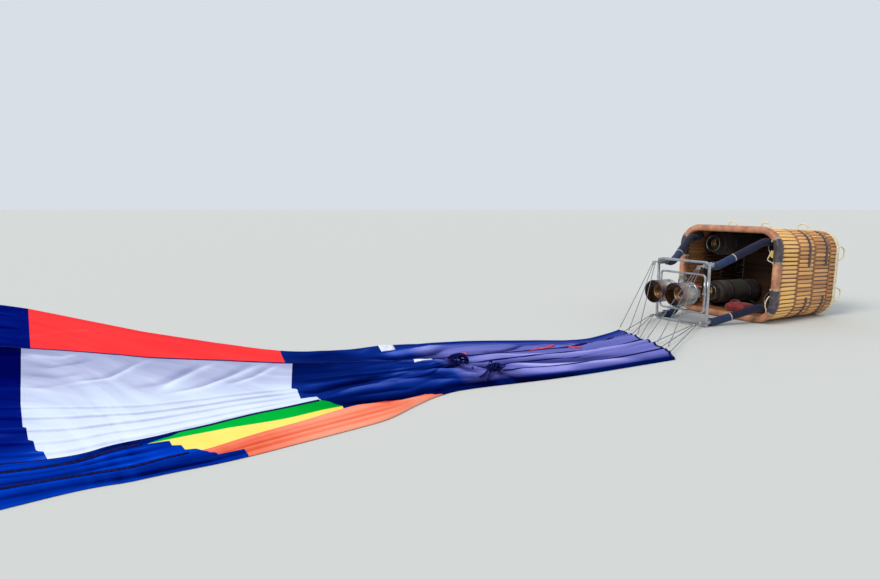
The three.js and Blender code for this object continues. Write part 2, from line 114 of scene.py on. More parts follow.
# The envelope lies on the ground from its mouth to its crown, folded on itself, with its far edge and its
# near edge given rib by rib. It is coated nylon, five gores show on top, and a load tape runs on each seam.
ribs = [
    # from the mouth, far end x and y, near end x and y, then where the four seams cross, 0 far to 1 near
    (0.0, 1.9, 7.0, 2.15, 5.85, 0.25, 0.5, 0.67, 0.84),
    (0.75, 1.45, 6.53, 1.2, 5.33, 0.33, 0.55, 0.7, 0.85),
    (1.9, 0.2, 6.48, 0.19, 4.89, 0.48, 0.7, 0.8, 0.9),
    (2.4, -0.24, 6.35, -0.02, 4.71, 0.47, 0.77, 0.86, 0.945),
    (2.75, -0.56, 6.15, -0.18, 4.47, 0.38, 0.75, 0.86, 0.93),
    (3.2, -0.95, 5.96, -0.38, 4.16, 0.245, 0.71, 0.845, 0.86),
    (3.7, -1.5, 5.99, -0.87, 3.74, 0.21, 0.745, 0.842, 0.885),
    (4.45, -2.33, 6.54, -1.24, 3.46, 0.29, 0.828, 0.868, 0.94),
    (4.8, -2.8, 6.82, -1.45, 3.33, 0.318, 0.862, 0.885, 0.956),
    (5.15, -3.25, 7.09, -1.6, 3.23, 0.338, 0.88, 0.9, 0.968),
    (6.8, -5.39, 8.46, -1.95, 3.02, 0.422, 0.93, 0.95, 0.975),
    (8.2, -6.7, 9.15, -3.3, 1.9, 0.34, 0.8, 0.87, 0.94),
    (9.6, -8.0, 9.8, -4.7, 0.75, 0.28, 0.66, 0.78, 0.89),
    (11.0, -9.3, 10.25, -6.2, -0.2, 0.23, 0.54, 0.7, 0.85),
    (12.5, -10.8, 10.5, -7.9, -0.85, 0.21, 0.46, 0.65, 0.83),
    (14.0, -12.3, 10.45, -9.6, -1.1, 0.2, 0.42, 0.62, 0.81),
    (15.5, -13.8, 10.05, -11.4, -0.8, 0.2, 0.4, 0.6, 0.8),
    (17.0, -15.3, 9.2, -13.2, 0.2, 0.2, 0.4, 0.6, 0.8),
    (18.8, -17.0, 7.7, -15.5, 2.0, 0.2, 0.4, 0.6, 0.8),
    (20.0, -18.0, 6.4, -17.0, 3.4, 0.2, 0.4, 0.6, 0.8),
    (21.0, -18.6, 5.5, -18.05, 4.35, 0.2, 0.4, 0.6, 0.8),
]
mouth, skirt_end, shoulder_start, valve_start, crown = 0.0, 1.9, 12.5, 18.8, 21.0


def rib_at(s):
    """The rib at a distance s from the mouth, on smooth lines through the table."""
    i = max(1, next((k for k, row in enumerate(ribs) if row[0] >= s), len(ribs) - 1))
    low, high = ribs[i - 1], ribs[i]
    before, after = ribs[max(0, i - 2)], ribs[min(len(ribs) - 1, i + 1)]
    span = high[0] - low[0]
    k = (s - low[0]) / span
    row = []
    for a, b, c, d in zip(before, low, high, after):
        start = 0.8 * (c - a) / max(span, high[0] - before[0]) * span
        end = 0.8 * (d - b) / max(span, after[0] - low[0]) * span
        row.append((2 * k**3 - 3 * k**2 + 1) * b + (k**3 - 2 * k**2 + k) * start
                   + (3 * k**2 - 2 * k**3) * c + (k**3 - k**2) * end)
    return row


def across(row, gore, fraction):
    """How far across a rib a place in a gore is, 0 at the far edge and 1 at the near edge."""
    seams = (0.0, *row[5:], 1.0)
    return seams[gore - 1] + fraction * (seams[gore] - seams[gore - 1])


def steps(table, value):
    """The table's value at a place, along straight lines between its rows."""
    for (a, low), (b, high) in zip(table, table[1:]):
        if value <= b:
            return low + (high - low) * (value - a) / (b - a)
    return table[-1][1]


# How high the folded cloth lies in its middle, at its far edge and at its near edge, and how deep its long
# and short folds are, by distance from the mouth
thickness = [(0.0, 0.072), (2.4, 0.066), (3.2, 0.064), (3.8, 0.056), (5.0, 0.048), (6.8, 0.038), (9.0, 0.038),
             (12.5, 0.034), (21, 0.03)]
far_edge = [(0.0, 0.05), (1.2, 0.06), (2.0, 0.045), (2.4, 0.05), (2.75, 0.085), (3.2, 0.074), (3.8, 0.066),
            (4.4, 0.028), (5.2, 0.02), (6.8, 0.05), (9.0, 0.034), (21, 0.026)]
near_edge = [(0.0, 0.035), (2.4, 0.026), (3.8, 0.022), (21, 0.02)]
long_folds = [(0.0, 0.026), (1.9, 0.014), (3.2, 0.006), (3.9, 0.003), (6.2, 0.003), (7.2, 0.013),
              (12.5, 0.016), (21, 0.014)]
short_folds = [(0.0, 0.008), (1.9, 0.004), (3.2, 0.003), (3.9, 0.001), (6.4, 0.001), (7.4, 0.005),
               (12.5, 0.007), (21, 0.01)]
edge_roll = [(0.0, 0.06), (2.4, 0.05), (3.2, 0.035), (21, 0.03)]
# How the painted shade of the skirt's top and the throat goes darker and lighter, by distance from the mouth
shade_along = [(0.0, -0.14), (2.2, -0.2), (2.7, -0.1), (3.2, 0.22), (3.4, 0.22), (3.7, 0.0)]
# Single folds: how high, how wide and how dark, then x and y of the places they run through
# The darkness of each single fold is painted: painted shade along a valley, a painted highlight along a crest
# where negative
hand_folds = [
    (0.012, 0.05, -0.35, -2.55, 5.67, -2.6, 5.42, -2.6, 5.08, -2.79, 4.97, -2.98, 4.84),
    (-0.01, 0.06, 0.35, -2.67, 5.58, -2.66, 5.32, -2.68, 5.11, -2.88, 5.05),
    (0.012, 0.05, -0.35, -1.93, 5.56, -1.99, 5.26, -2.04, 4.95, -2.05, 4.66),
    (-0.01, 0.06, 0.35, -2.07, 5.55, -2.11, 5.26, -2.16, 4.95, -2.32, 4.81),
    (0.012, 0.05, -0.35, -1.51, 5.5, -1.6, 5.17, -1.75, 4.81, -1.97, 4.59),
    (-0.01, 0.05, 0.35, -1.64, 5.52, -1.72, 5.14, -1.84, 4.81, -1.98, 4.69),
    (0.009, 0.035, -0.3, -1.37, 5.45, -1.44, 5.11, -1.58, 4.84),
    (-0.008, 0.035, 0.3, -1.44, 5.48, -1.52, 5.11, -1.66, 4.89),
    (0.012, 0.06, -0.35, -3.34, 5.95, -3.39, 5.76, -3.59, 5.8, -3.87, 5.95),
    (-0.01, 0.06, 0.3, -3.13, 5.76, -3.21, 5.58, -3.35, 5.48, -3.69, 5.65),
    (-0.008, 0.06, 0.25, -2.94, 5.29, -3.1, 5.17, -3.46, 5.26),
    (-0.006, 0.07, 0.2, -2.61, 5.0, -2.88, 4.92, -3.19, 4.84),
    (0.01, 0.06, -0.2, -4.4, 6.6, -4.1, 6.95, -3.7, 7.05),
    (0.03, 0.05, -1.5, -0.51, 5.77, -0.39, 5.78, -0.26, 5.87, -0.12, 5.99, 0.01, 6.14),
    (-0.02, 0.05, 1.0, -0.59, 5.65, -0.33, 5.62, -0.21, 5.72, -0.08, 5.8, 0.02, 6.01),
    (-0.012, 0.05, 0.9, -0.28, 5.12, -0.1, 5.22, 0.03, 5.28, 0.11, 5.32, 0.16, 5.31),
    (0.015, 0.04, -0.6, -0.4, 5.09, -0.23, 5.1, -0.06, 5.19, 0.13, 5.18),
    (-0.012, 0.04, 0.7, -1.03, 4.66, -0.91, 4.67, -0.78, 4.8, -0.6, 4.93, -0.46, 5.07),
    (0.02, 0.045, -0.9, -0.75, 4.58, -0.62, 4.68, -0.46, 4.78, -0.35, 4.89, -0.1, 4.98),
    (-0.012, 0.04, 0.5, -0.7, 4.53, -0.54, 4.61, -0.39, 4.7, -0.17, 4.8),
    (-0.015, 0.05, 1.0, -0.69, 4.39, -0.53, 4.41, -0.38, 4.46, -0.27, 4.58, -0.1, 4.76, 0.15, 4.91),
    (0.008, 0.04, -0.3, -0.66, 4.52, -0.49, 4.57, -0.35, 4.63, -0.21, 4.73),
    (0.008, 0.06, -0.25, -1.06, 4.75, -0.92, 4.82, -0.77, 4.89, -0.62, 4.97),
    (0.01, 0.06, -0.3, -1.27, 5.8, -1.02, 5.95, -0.72, 5.83, -0.64, 6.02),
    (0.006, 0.025, -0.5, -0.69, 5.58, -0.42, 5.54, 0.09, 5.47),
    (0.012, 0.06, -0.2, 0.06, 6.02, 0.28, 6.02, 0.53, 6.11, 0.79, 6.11),
    (-0.012, 0.025, 1.0, 0.39, 5.88, 0.46, 5.87, 0.58, 5.93, 0.69, 6.01, 0.8, 6.15),
    (0.015, 0.045, -0.6, 0.27, 5.62, 0.51, 5.73, 0.74, 5.71, 1.01, 5.75, 1.3, 5.83, 1.85, 6.1),
    (-0.01, 0.025, 0.5, 0.21, 5.39, 0.39, 5.43, 0.66, 5.51, 0.98, 5.61, 1.27, 5.64, 1.85, 5.9),
    (0.0, 0.05, 0.5, 0.39, 5.38, 0.66, 5.43, 0.98, 5.52, 1.27, 5.58, 1.85, 5.8),
    (0.012, 0.03, -1.0, 0.53, 5.38, 0.77, 5.39, 0.95, 5.42, 1.24, 5.51, 1.8, 5.7),
    (0.012, 0.06, -0.6, 0.56, 5.24, 0.75, 5.25, 0.97, 5.3, 1.2, 5.4),
    (-0.01, 0.03, 0.9, 0.49, 5.15, 0.62, 5.09, 0.73, 5.12, 0.9, 5.19, 1.09, 5.28, 1.2, 5.33),
    (0.012, 0.035, -0.5, -0.08, 5.17, 0.09, 5.17, 0.3, 5.1),
    (-0.01, 0.03, 0.5, -0.07, 5.02, 0.16, 5.03, 0.33, 5.07),
    (0.01, 0.03, -0.4, -0.07, 4.91, 0.12, 4.98, 0.33, 5.06),
    (-0.01, 0.03, 0.7, 0.04, 4.89, 0.24, 4.96, 0.37, 5.01, 0.5, 5.03),
    (0.012, 0.06, 0.0, -0.95, 4.12, -0.55, 4.34, -0.12, 4.6),
]
# Pleats, each laid over the next towards the near side: gore, from and to, how high, how dark the painted
# shadow at the foot is, and where in the gore
pleats = [
    (1, 6.9, 18.8, 0.012, 1.0, (0.3, 0.62, 0.9)),
    (2, 1.9, 3.6, 0.006, 0.5, (0.5, 0.7, 0.88)),
    (2, 3.5, 7.6, 0.008, 0.6, (0.66, 0.735, 0.82, 0.895, 0.955)),
    (2, 7.2, 18.8, 0.012, 0.8, (0.2, 0.4, 0.6, 0.8, 0.95)),
    (3, 4.8, 18.8, 0.016, 1.0, (0.3, 0.62, 0.92)),
    (4, 4.7, 18.8, 0.018, 1.0, (0.33, 0.62, 0.92)),
    (5, 2.6, 4.6, 0.008, 0.8, (0.24, 0.44, 0.66)),
    (5, 4.3, 18.8, 0.016, 1.0, (0.22, 0.46, 0.7)),
]
# Where bundled tapes gather the cloth: x, y, and how far their folds spread
gathers = [(0.13, 5.38, 0.8), (0.44, 5.18, 0.7)]


def clamp(value):
    """The value, kept between 0 and 1."""
    return max(0.0, min(1.0, value))


def rough(*place):
    """Smooth noise at a place."""
    return noise.noise(Vector(place))


def crest(value, sharpness):
    """A fold's section: rounded valleys and narrow crests, from noise."""
    return (1 - clamp(abs(value) * 2.1)) ** sharpness


def pleated(s, gore, fraction, gore_width):
    """The height and painted shade of the pleats: a gentle rise, a steep drop and a painted shadow at the
    foot.
    """
    height, dark = 0.0, 0.0
    rise, drop, foot = 0.14, 0.035, 0.032
    beside = min(1.0, fraction * gore_width / 0.05, (1 - fraction) * gore_width / 0.02)
    for pleat_gore, start, end, high, shade, places in pleats:
        if gore == pleat_gore and start < s < end:
            fade = min(1.0, (s - start) / 0.4, (end - s) / 0.4) * beside
            for place in places:
                bend = place + 0.02 * rough(s * 0.45, place * 9, gore)
                strong = fade * (0.75 + 0.6 * rough(s * 0.35, place * 7, gore + 20))
                ahead = (fraction - bend) * gore_width
                # Before its drop a pleat is painted lighter, a painted highlight; just past its drop lies the
                # painted shadow
                if ahead < 0:
                    shape = clamp(1 + ahead / rise) ** 2
                    dark -= 0.35 * shade * strong * clamp(1 + ahead / 0.05)
                else:
                    shape = clamp(1 - ahead / drop)
                    dark += shade * strong * exp(-(((ahead - foot) / 0.02) ** 2))
                height += high * strong * shape
    return height, dark


def laid_folds(flat):
    """The height and the shade of the single folds, at a place on the ground."""
    height, dark = 0.0, 0.0
    for high, wide, shade, *line in hand_folds:
        reach, sides = 2.6 * wide, (line[::2], line[1::2])
        if any(not min(side) - reach < at < max(side) + reach for side, at in zip(sides, flat)):
            continue
        places = list(zip(*sides))
        nearest, where = 99.0, 0.0
        for i, (start, end) in enumerate(zip(places, places[1:])):
            start, way = Vector(start), Vector(end) - Vector(start)
            k = clamp((flat - start).dot(way) / way.length_squared)
            gap = (flat - start - way * k).length
            if gap < nearest:
                nearest, where = gap, (i + k) / (len(places) - 1)
        amount = exp(-((nearest / wide) ** 2)) * min(1.0, 0.15 + where * 4, 0.15 + (1 - where) * 4)
        height += high * amount
        dark += shade * amount
    return height, dark


under_cloth, thinnest = 0.004, 0.01


def cloth_point(s, gore, fraction):
    """Where the folded cloth lies, at a distance from the mouth and a place in a gore, its place in metres,
    and the painted shade of the fold there, a painted highlight where it is negative."""
    row = rib_at(s)
    t = across(row, gore, fraction)
    far, near = Vector(row[1:3]), Vector(row[3:5])
    width = (near - far).length
    flat = far + (near - far) * t
    seams = (0.0, *row[5:], 1.0)
    wander = rough(s * 0.45, t * 3, 4.1)
    long_fold = crest(rough(s * 0.19, t * 11 + wander * 1.2, 1.7), 1.6)
    short_fold = crest(rough(s * 0.5, t * 31 + wander * 2.4, 8.3), 1.3)
    folds = steps(long_folds, s) * long_fold + steps(short_folds, s) * short_fold
    # Painted shade in the valleys of the long folds, and a painted highlight on their crests
    dark = min(1.0, steps(long_folds, s) / 0.012) * 0.3 * (0.45 - long_fold)
    pleat, pleat_dark = pleated(s, gore, fraction, (seams[gore] - seams[gore - 1]) * width)
    laid, laid_dark = laid_folds(flat)
    folds += pleat + laid
    dark += pleat_dark + laid_dark
    # The painted shade goes darker and lighter in turn along the skirt's top and the throat, and the second
    # gore, white in the ring, is painted darker at its far side and lighter at its near side, as it turns
    # from the sun
    shade = steps(shade_along, s)
    dark += shade if gore < 5 else 0.4 * min(0.0, shade)
    if gore == 2 and s > 3.3:
        lit = 0.59 - fraction
        if lit < 0:
            lit *= 1 - 0.8 * clamp((s - 6.7) / 0.25)
        dark += 1.1 * lit * clamp((s - 3.3) / 0.3) * clamp((12.0 - s) / 4)
    if gore == 5 and 3.5 < s < 5.1:
        dark += 0.45 * sin(pi * (s - 3.5) / 1.6)
    # Round each gather the cloth is painted darker, with painted shade between the spreading folds and a
    # painted highlight on them
    for x, y, reach in gathers:
        away = flat - Vector((x, y))
        far_off = hypot(away.x * 0.6, away.y)
        if far_off < reach:
            angle = atan2(away.y, away.x * 0.6)
            fade = (1 - far_off / reach) ** 2
            ray = cos(8 * angle + 3 * rough(angle, x, y)) * min(1.0, far_off / 0.12)
            folds += fade * (0.014 + 0.009 * ray)
            dark += fade * (0.15 - 0.3 * ray)
    edge = min(t, 1 - t) * width
    rim = steps(far_edge if t < 0.5 else near_edge, s)
    inward = min(1.0, edge / 0.4)
    body = rim + (steps(thickness, s) - rim) * inward * inward * (3 - 2 * inward)
    # A painted shadow darkens the near edge of the skirt and the throat
    if t > 0.5 and s < 2.7:
        foot = 0.06 + 0.14 * clamp(s - 1.2)
        dark += 0.5 * min(1.0, (2.7 - s) / 0.35) * exp(-((edge / foot) ** 2))
    folds *= min(1.0, 0.25 + edge / 0.12)
    roll = sqrt(1 - (1 - min(1.0, edge / steps(edge_roll, s))) ** 2)
    height = roll * max(thinnest, body + folds - thinnest)
    sway = (0.5 - t) * 0.03 * rough(s * 1.3, 2.2 + (t > 0.5), 0) * max(0.0, 1 - edge / 0.3)
    flat += (near - far).normalized() * sway
    return Vector((flat.x + eye.x, flat.y + eye.y, under_cloth + height)), (s, t * width), dark


def cloth(name, strips, material, solid):
    """A cloth piece, laid on the ground in a solid's stead: each strip is a grid in one gore, from one
    distance to another, closer at the folded edges, with a turned-down hem at the mouth and the crown."""
    bm = bmesh.new()
    # Each vertex keeps the painted shade of its fold: painted shade where positive, a painted highlight where
    # negative
    painted_shade = bm.verts.layers.float.new("painted_shade")
    place_across = bm.verts.layers.float.new("across")
    places = {}
    closer, hem = 1.5, 0.02
    for gore, start, end, length_count, width_count in strips:
        made = bmesh.ops.create_grid(bm, x_segments=length_count, y_segments=width_count, size=0.5)["verts"]
        for vert in made:
            along, fraction = vert.co.x + 0.5, vert.co.y + 0.5
            if gore == 1:
                fraction = fraction**closer
            if gore == 5:
                fraction = 1 - (1 - fraction) ** closer
            low, high = steps(start, fraction), steps(end, fraction)
            row, ahead = round(along * length_count), 0.0
            if low == mouth:
                along, ahead = max(0, row - 1) / (length_count - 1), hem * (row == 0)
            if high == crown:
                along, ahead = min(row, length_count - 1) / (length_count - 1), -hem * (row == length_count)
            s = low + (high - low) * along + ahead
            vert.co, places[vert], vert[painted_shade] = cloth_point(s, gore, fraction)
            vert[place_across] = across(rib_at(s), gore, fraction)
            if ahead:
                vert.co.z = under_cloth
    uv_layer = bm.loops.layers.uv.new("cloth")
    for face in bm.faces:
        face.smooth = True
        for loop in face.loops:
            loop[uv_layer].uv = places[loop.vert]
    bmesh.ops.remove_doubles(bm, verts=bm.verts, dist=0.001)
    bmesh.ops.recalc_face_normals(bm, faces=bm.faces)
    if sum(face.normal.z * face.calc_area() for face in bm.faces) < 0:
        bmesh.ops.reverse_faces(bm, faces=bm.faces)
    piece = built(name, bm)
    piece.data.materials.append(material)
    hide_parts(solid)
    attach(piece, "root")
    return piece


def level(s):
    """A straight end of a strip, the same distance from the mouth all across."""
    return [(0.0, s), (1.0, s)]


def node(material, kind, links=(), settings=(), values=()):
    """Adds a node, wires it to others and sets its values."""
    tree = material.node_tree
    made = tree.nodes.new("ShaderNode" + kind)
    for setting, value in dict(settings).items():
        setattr(made, setting, value)
    for socket, value in dict(values).items():
        made.inputs[socket].default_value = value
    for socket, source in dict(links).items():
        tree.links.new(source, made.inputs[socket])
    return made


def place_on(material, coordinates="Object", stretch=(1, 1, 1), turn=0.0):
    """The surface's own place, turned round Z and then stretched, for a pattern to read."""
    source = node(material, "TexCoord")
    return node(material, "Mapping", {"Vector": source.outputs[coordinates]}, {"vector_type": "TEXTURE"},
                {"Scale": [1 / s for s in stretch], "Rotation": (0, 0, turn)}).outputs["Vector"]


def grain(material, place, scale, detail=3.0, distortion=0.0):
    """Noise at a place."""
    return node(material, "TexNoise", {"Vector": place}, values={
        "Scale": scale, "Detail": detail, "Distortion": distortion, "Roughness": 0.55}).outputs["Fac"]


def attribute(material, name):
    """What a mesh keeps for its material at each vertex."""
    return node(material, "Attribute", settings={"attribute_name": name}).outputs["Fac"]


def colours(material, factor, stops):
    """Screen colours along a factor, into the shader's base colour."""
    ramp = node(material, "ValToRGB", {"Fac": factor})
    elements = ramp.color_ramp.elements
    while len(elements) < len(stops):
        elements.new(0.5)
    for element, (place, *colour) in zip(elements, stops):
        element.position = place
        element.color = (*srgb(*colour), 1)
    material.node_tree.links.new(ramp.outputs["Color"], shader_of(material).inputs["Base Color"])
    return ramp


def math_on(material, operation, *sources, **extra):
    """A math node on sockets or numbers."""
    made = node(material, "Math", settings={"operation": operation, **extra})
    for i, source in enumerate(sources):
        if isinstance(source, (int, float)):
            made.inputs[i].default_value = source
        else:
            material.node_tree.links.new(source, made.inputs[i])
    return made.outputs[0]


def raised(material, height, distance, strength=1.0):
    """Adds a height to the surface's bump, over what is there."""
    normal = shader_of(material).inputs["Normal"]
    links = {"Height": height}
    if normal.is_linked:
        links["Normal"] = normal.links[0].from_socket
    made = node(material, "Bump", links, values={"Distance": distance, "Strength": strength})
    material.node_tree.links.new(made.outputs["Normal"], normal)


def nylon(name, stops, gloss=0.5):
    """Coated ripstop nylon, with a seam across each gore every 1.15 m and a fine square grid. Its colours go
    from painted shade in the folds to painted highlights on their crests, as the mesh's painted shade says."""
    material = finish(name, stops[1][1:], gloss, sockets={"Specular IOR Level": 0.0})
    weave = place_on(material, "UV")
    tone = grain(material, place_on(material, "UV", (0.6, 2.2, 1)), 1.0, 3.0, 0.5)
    tone = math_on(material, "MULTIPLY_ADD", math_on(material, "SUBTRACT", tone, 0.5), 0.36, 0.5)
    # The mesh's painted shade darkens the folds' valleys and lightens their crests
    tone = math_on(material, "MULTIPLY_ADD", attribute(material, "painted_shade"), -0.5, tone)
    colours(material, tone, stops)
    along = node(material, "SeparateXYZ", {"Vector": weave}).outputs["X"]
    seam = math_on(material, "LESS_THAN", math_on(material, "PINGPONG", along, 1.15 / 2), 0.009)
    raised(material, seam, 0.003, 0.4)
    waves = grain(material, place_on(material, "Object", (1.6, 3.4, 1), 0.5), 1.0, 3.0, 0.9)
    raised(material, waves, 0.02, 0.25)
    raised(material, grain(material, place_on(material), 7.0, 3.0, 0.4), 0.01, 0.2)
    cells = node(material, "TexBrick", {"Vector": weave}, {"offset": 0.0, "squash": 1.0}, {
        "Color1": (1, 1, 1, 1), "Color2": (1, 1, 1, 1), "Mortar": (0, 0, 0, 1), "Scale": 1.0,
        "Mortar Size": 0.0006, "Brick Width": 0.009, "Row Height": 0.009})
    raised(material, cells.outputs["Color"], 0.0006, 0.25)
    return material


def blended(material, stops, lines):
    """Mixes in other colours of the same folds. Each line holds what multiplies the distance from the mouth
    and the place across, and what is added; the factor is the least of them."""
    first = material.node_tree.nodes["Color Ramp"]
    second = colours(material, first.inputs["Fac"].links[0].from_socket, stops)
    distance = node(material, "SeparateXYZ", {"Vector": place_on(material, "UV")}).outputs["X"]
    place, factor = attribute(material, "across"), 1.0
    for along, aside, plus in lines:
        line = math_on(material, "MULTIPLY_ADD", place, aside, plus)
        line = math_on(material, "MULTIPLY_ADD", distance, along, line, use_clamp=True)
        factor = math_on(material, "MINIMUM", factor, line)
    blend = node(material, "Mix", settings={"data_type": "RGBA"})
    links = material.node_tree.links
    for source, socket in ((factor, 0), (first.outputs["Color"], 6), (second.outputs["Color"], 7)):
        links.new(source, blend.inputs[socket])
    links.new(blend.outputs[2], shader_of(material).inputs["Base Color"])


# Where the colours begin and end in each gore, as (place in the gore, distance from the mouth). Their
# ends are cut in steps where the gore's panels meet, and follow the panel's seam elsewhere.
red_mouth = [(0.0, 3.7), (1.0, 3.66)]
red_crown = [(0.0, 6.8), (1.0, 6.8)]
white_mouth = [(0.0, 3.6), (0.66, 3.65), (0.68, 3.61), (0.9, 3.6), (0.915, 3.51), (1.0, 3.49)]
white_crown = [(0.0, 6.93), (0.62, 6.92), (0.8, 6.9), (0.805, 6.875), (0.88, 6.86), (0.885, 6.82),
               (0.945, 6.8), (0.95, 6.74), (1.0, 6.7)]
green_mouth = [(0.0, 3.49), (0.2, 3.46), (0.55, 3.43), (0.85, 3.41), (1.0, 3.4)]
green_crown = [(0.0, 4.68), (0.5, 4.8), (1.0, 5.0)]
yellow_mouth = [(0.0, 3.4), (1.0, 3.4)]
yellow_crown = [(0.0, 5.0), (0.1, 4.8), (0.45, 4.77), (0.5, 4.7), (0.8, 4.67), (0.85, 4.6), (1.0, 4.56)]
orange_mouth = [(0.0, 2.56), (0.3, 2.53), (0.8, 2.44), (1.0, 2.27)]
orange_crown = [(0.0, 4.56), (0.4, 4.5), (0.5, 4.44), (0.62, 4.42), (0.66, 4.16), (1.0, 4.12)]

# Skirt: the bottom ring of the envelope, of heat-resistant navy cloth with a painted lilac sheen, gathered in
# long folds to the mouth. Its upper edge is sewn to the throat.
# Each nylon's stops run from the painted shade of the folds to a painted highlight on their crests
navy_stops = [(0.0, 0, 4, 46), (0.36, 2, 20, 88), (0.58, 12, 44, 132), (1.0, 74, 98, 194)]
lilac_sheen_stops = [(0.0, 18, 18, 66), (0.36, 70, 74, 142), (0.6, 118, 120, 198), (1.0, 188, 184, 252)]
lilac_sheen_lines = [(-2.5, -2.25, 7.0), (0.0, 4.5, -0.7), (0.0, -25.0, 24.4)]
skirt_cloth = nylon("skirt_cloth", navy_stops, 0.45)
blended(skirt_cloth, lilac_sheen_stops, lilac_sheen_lines)
skirt_strips = [(gore, level(mouth), level(skirt_end), 76, 22) for gore in range(1, 6)]
skirt = cloth("skirt", skirt_strips, skirt_cloth, "envelope_skirt")

# Throat: the navy cloth between the skirt and the coloured ring, where all gores are drawn together. It
# reaches into each gore as far as the gore's colour begins.
# The throat's folds take the same painted lilac sheen towards the mouth
navy = nylon("navy_nylon", navy_stops, 0.45)
blended(navy, lilac_sheen_stops, lilac_sheen_lines)
throat_strips = [
    (1, level(skirt_end), red_mouth, 80, 30), (2, level(skirt_end), white_mouth, 80, 64),
    (3, level(skirt_end), green_mouth, 70, 14), (4, level(skirt_end), yellow_mouth, 70, 14),
    (5, level(skirt_end), orange_mouth, 24, 16)]
throat = cloth("throat", throat_strips, navy, "envelope_throat")

# Coloured ring: one panel in each gore, red, white, green, yellow and orange from the far edge to the near
# edge, each sewn to its neighbours. The last three lie narrow because their gores are folded under.
panels = [
    # colour, gore, where it begins, where it ends, grid, the flat cut and its area, the nylon's four tones
    # from painted shade to painted highlight
    ("red", 1, red_mouth, red_crown, (120, 44), (2.8, 3.15), 3.5,
     ((160, 16, 30), (244, 50, 54), (255, 64, 66), (255, 108, 104))),
    ("white", 2, white_mouth, white_crown, (120, 130), (3.3, 3.3), 4.2,
     ((128, 134, 176), (188, 194, 225), (219, 231, 254), (246, 251, 255))),
    ("green", 3, green_mouth, green_crown, (80, 12), (0.22, 1.6), 0.22,
     ((0, 96, 30), (0, 164, 52), (6, 190, 66), (70, 226, 122))),
    ("yellow", 4, yellow_mouth, yellow_crown, (80, 14), (0.24, 1.5), 0.15,
     ((206, 156, 56), (250, 220, 96), (255, 238, 122), (255, 248, 170))),
    ("orange", 5, orange_mouth, orange_crown, (100, 30), (0.28, 2.1), 0.36,
     ((216, 62, 28), (252, 132, 102), (255, 166, 136), (255, 196, 170))),
]
for colour, gore, start, end, grid, flat, area, tones in panels:
    stops = [(place, *tone) for place, tone in zip((0.0, 0.36, 0.58, 1.0), tones)]
    cloth(f"panel_{colour}_cloth", [(gore, start, end, *grid)], nylon(f"nylon_{colour}", stops),
          f"panel_{colour}")

# Upper gores: blue cloth from the coloured ring to the shoulder and the crown, lying in long open folds. It
# is deep navy by the far gores of the ring and turns royal blue above and towards the near side.
# The deep and royal stops also run from painted shade in the folds to a painted highlight on the crests
deep_stops = [(0.0, 0, 1, 50), (0.36, 0, 6, 92), (0.58, 2, 24, 122), (1.0, 50, 84, 190)]
royal_stops = [(0.0, 0, 10, 76), (0.36, 0, 50, 168), (0.58, 0, 66, 202), (1.0, 70, 124, 236)]
royal = nylon("royal_nylon", royal_stops)
blended(royal, deep_stops, [(-0.16, 0.0, 2.2), (0.0, -14.0, 13.2)])
upper, top = level(shoulder_start), level(valve_start)
far_gores = cloth("far_gores", [(1, red_crown, upper, 100, 44), (2, white_crown, upper, 100, 90)], royal,
                  "envelope_far_gores")
near_gores = cloth("near_gores", [(3, green_crown, upper, 130, 36), (4, yellow_crown, upper, 130, 36),
                                  (5, orange_crown, upper, 130, 44)], royal,
                   "envelope_near_gores")
shoulder = cloth("shoulder", [(gore, upper, top, 90, 34) for gore in range(1, 6)], royal,
                 "envelope_shoulder")
valve = cloth("crown_valve_cloth", [(gore, top, level(crown), 36, 16) for gore in range(1, 6)], royal,
              "crown_valve")

# Basket: it lies on its long side and leans to its smaller floor end. Its own frame has x from the rim to
# the floor, y across and z up, with the near side at -y, and its walls draw in with x.
deep, taper = 1.23, 0.045
# How wide and high the wall and the roll are, and how far their corners are rounded
wall_size, roll_size = (1.36, 1.1, 0.25), (1.4, 1.14, 0.27)
wall_high, roll_high = wall_size[1], roll_size[1]
roll_start, roll_end = -0.057, 0.038
skid_foot = 0.009
lean = atan((roll_high / 2 - (wall_high / 2 * (1 - taper) + skid_foot)) / deep)
heading = radians(29.6)
rig = Matrix.Translation((3.564 + eye.x, 8.089 + eye.y, 0)) @ Matrix.Rotation(heading, 4, "Z")
in_basket = rig @ Matrix.Translation((0, 0, roll_high / 2 + 0.0011)) @ Matrix.Rotation(lean, 4, "Y")
on_ground = Matrix.Identity(4)
corners = [("near_top", -1, 1), ("far_top", 1, 1), ("near_low", -1, -1), ("far_low", 1, -1)]


def wall_length(wide, high, radius):
    """The way all round a rounded wall."""
    return 2 * (wide + high) - 8 * radius + 2 * pi * radius


def round_wall(place, wide, high, radius):
    """A point of a rounded wall and its outward direction, by distance from the middle of the near side."""
    half_y, half_z = wide / 2 - radius, high / 2 - radius
    turns = [(-half_y, half_z, pi, 2 * half_z), (half_y, half_z, pi / 2, 2 * half_y),
             (half_y, -half_z, 0, 2 * half_z), (-half_y, -half_z, -pi / 2, 2 * half_y)]
    place = (place + half_z) % wall_length(wide, high, radius)
    for y, z, start, leg in turns:
        outward = Vector((cos(start), sin(start)))
        if place < leg:
            back = Vector((-outward.y, outward.x)) * (leg - place)
            return Vector((y, z)) + outward * radius + back, outward
        place -= leg
        if place < pi / 2 * radius:
            outward = Vector((cos(start - place / radius), sin(start - place / radius)))
            return Vector((y, z)) + outward * radius, outward
        place -= pi / 2 * radius


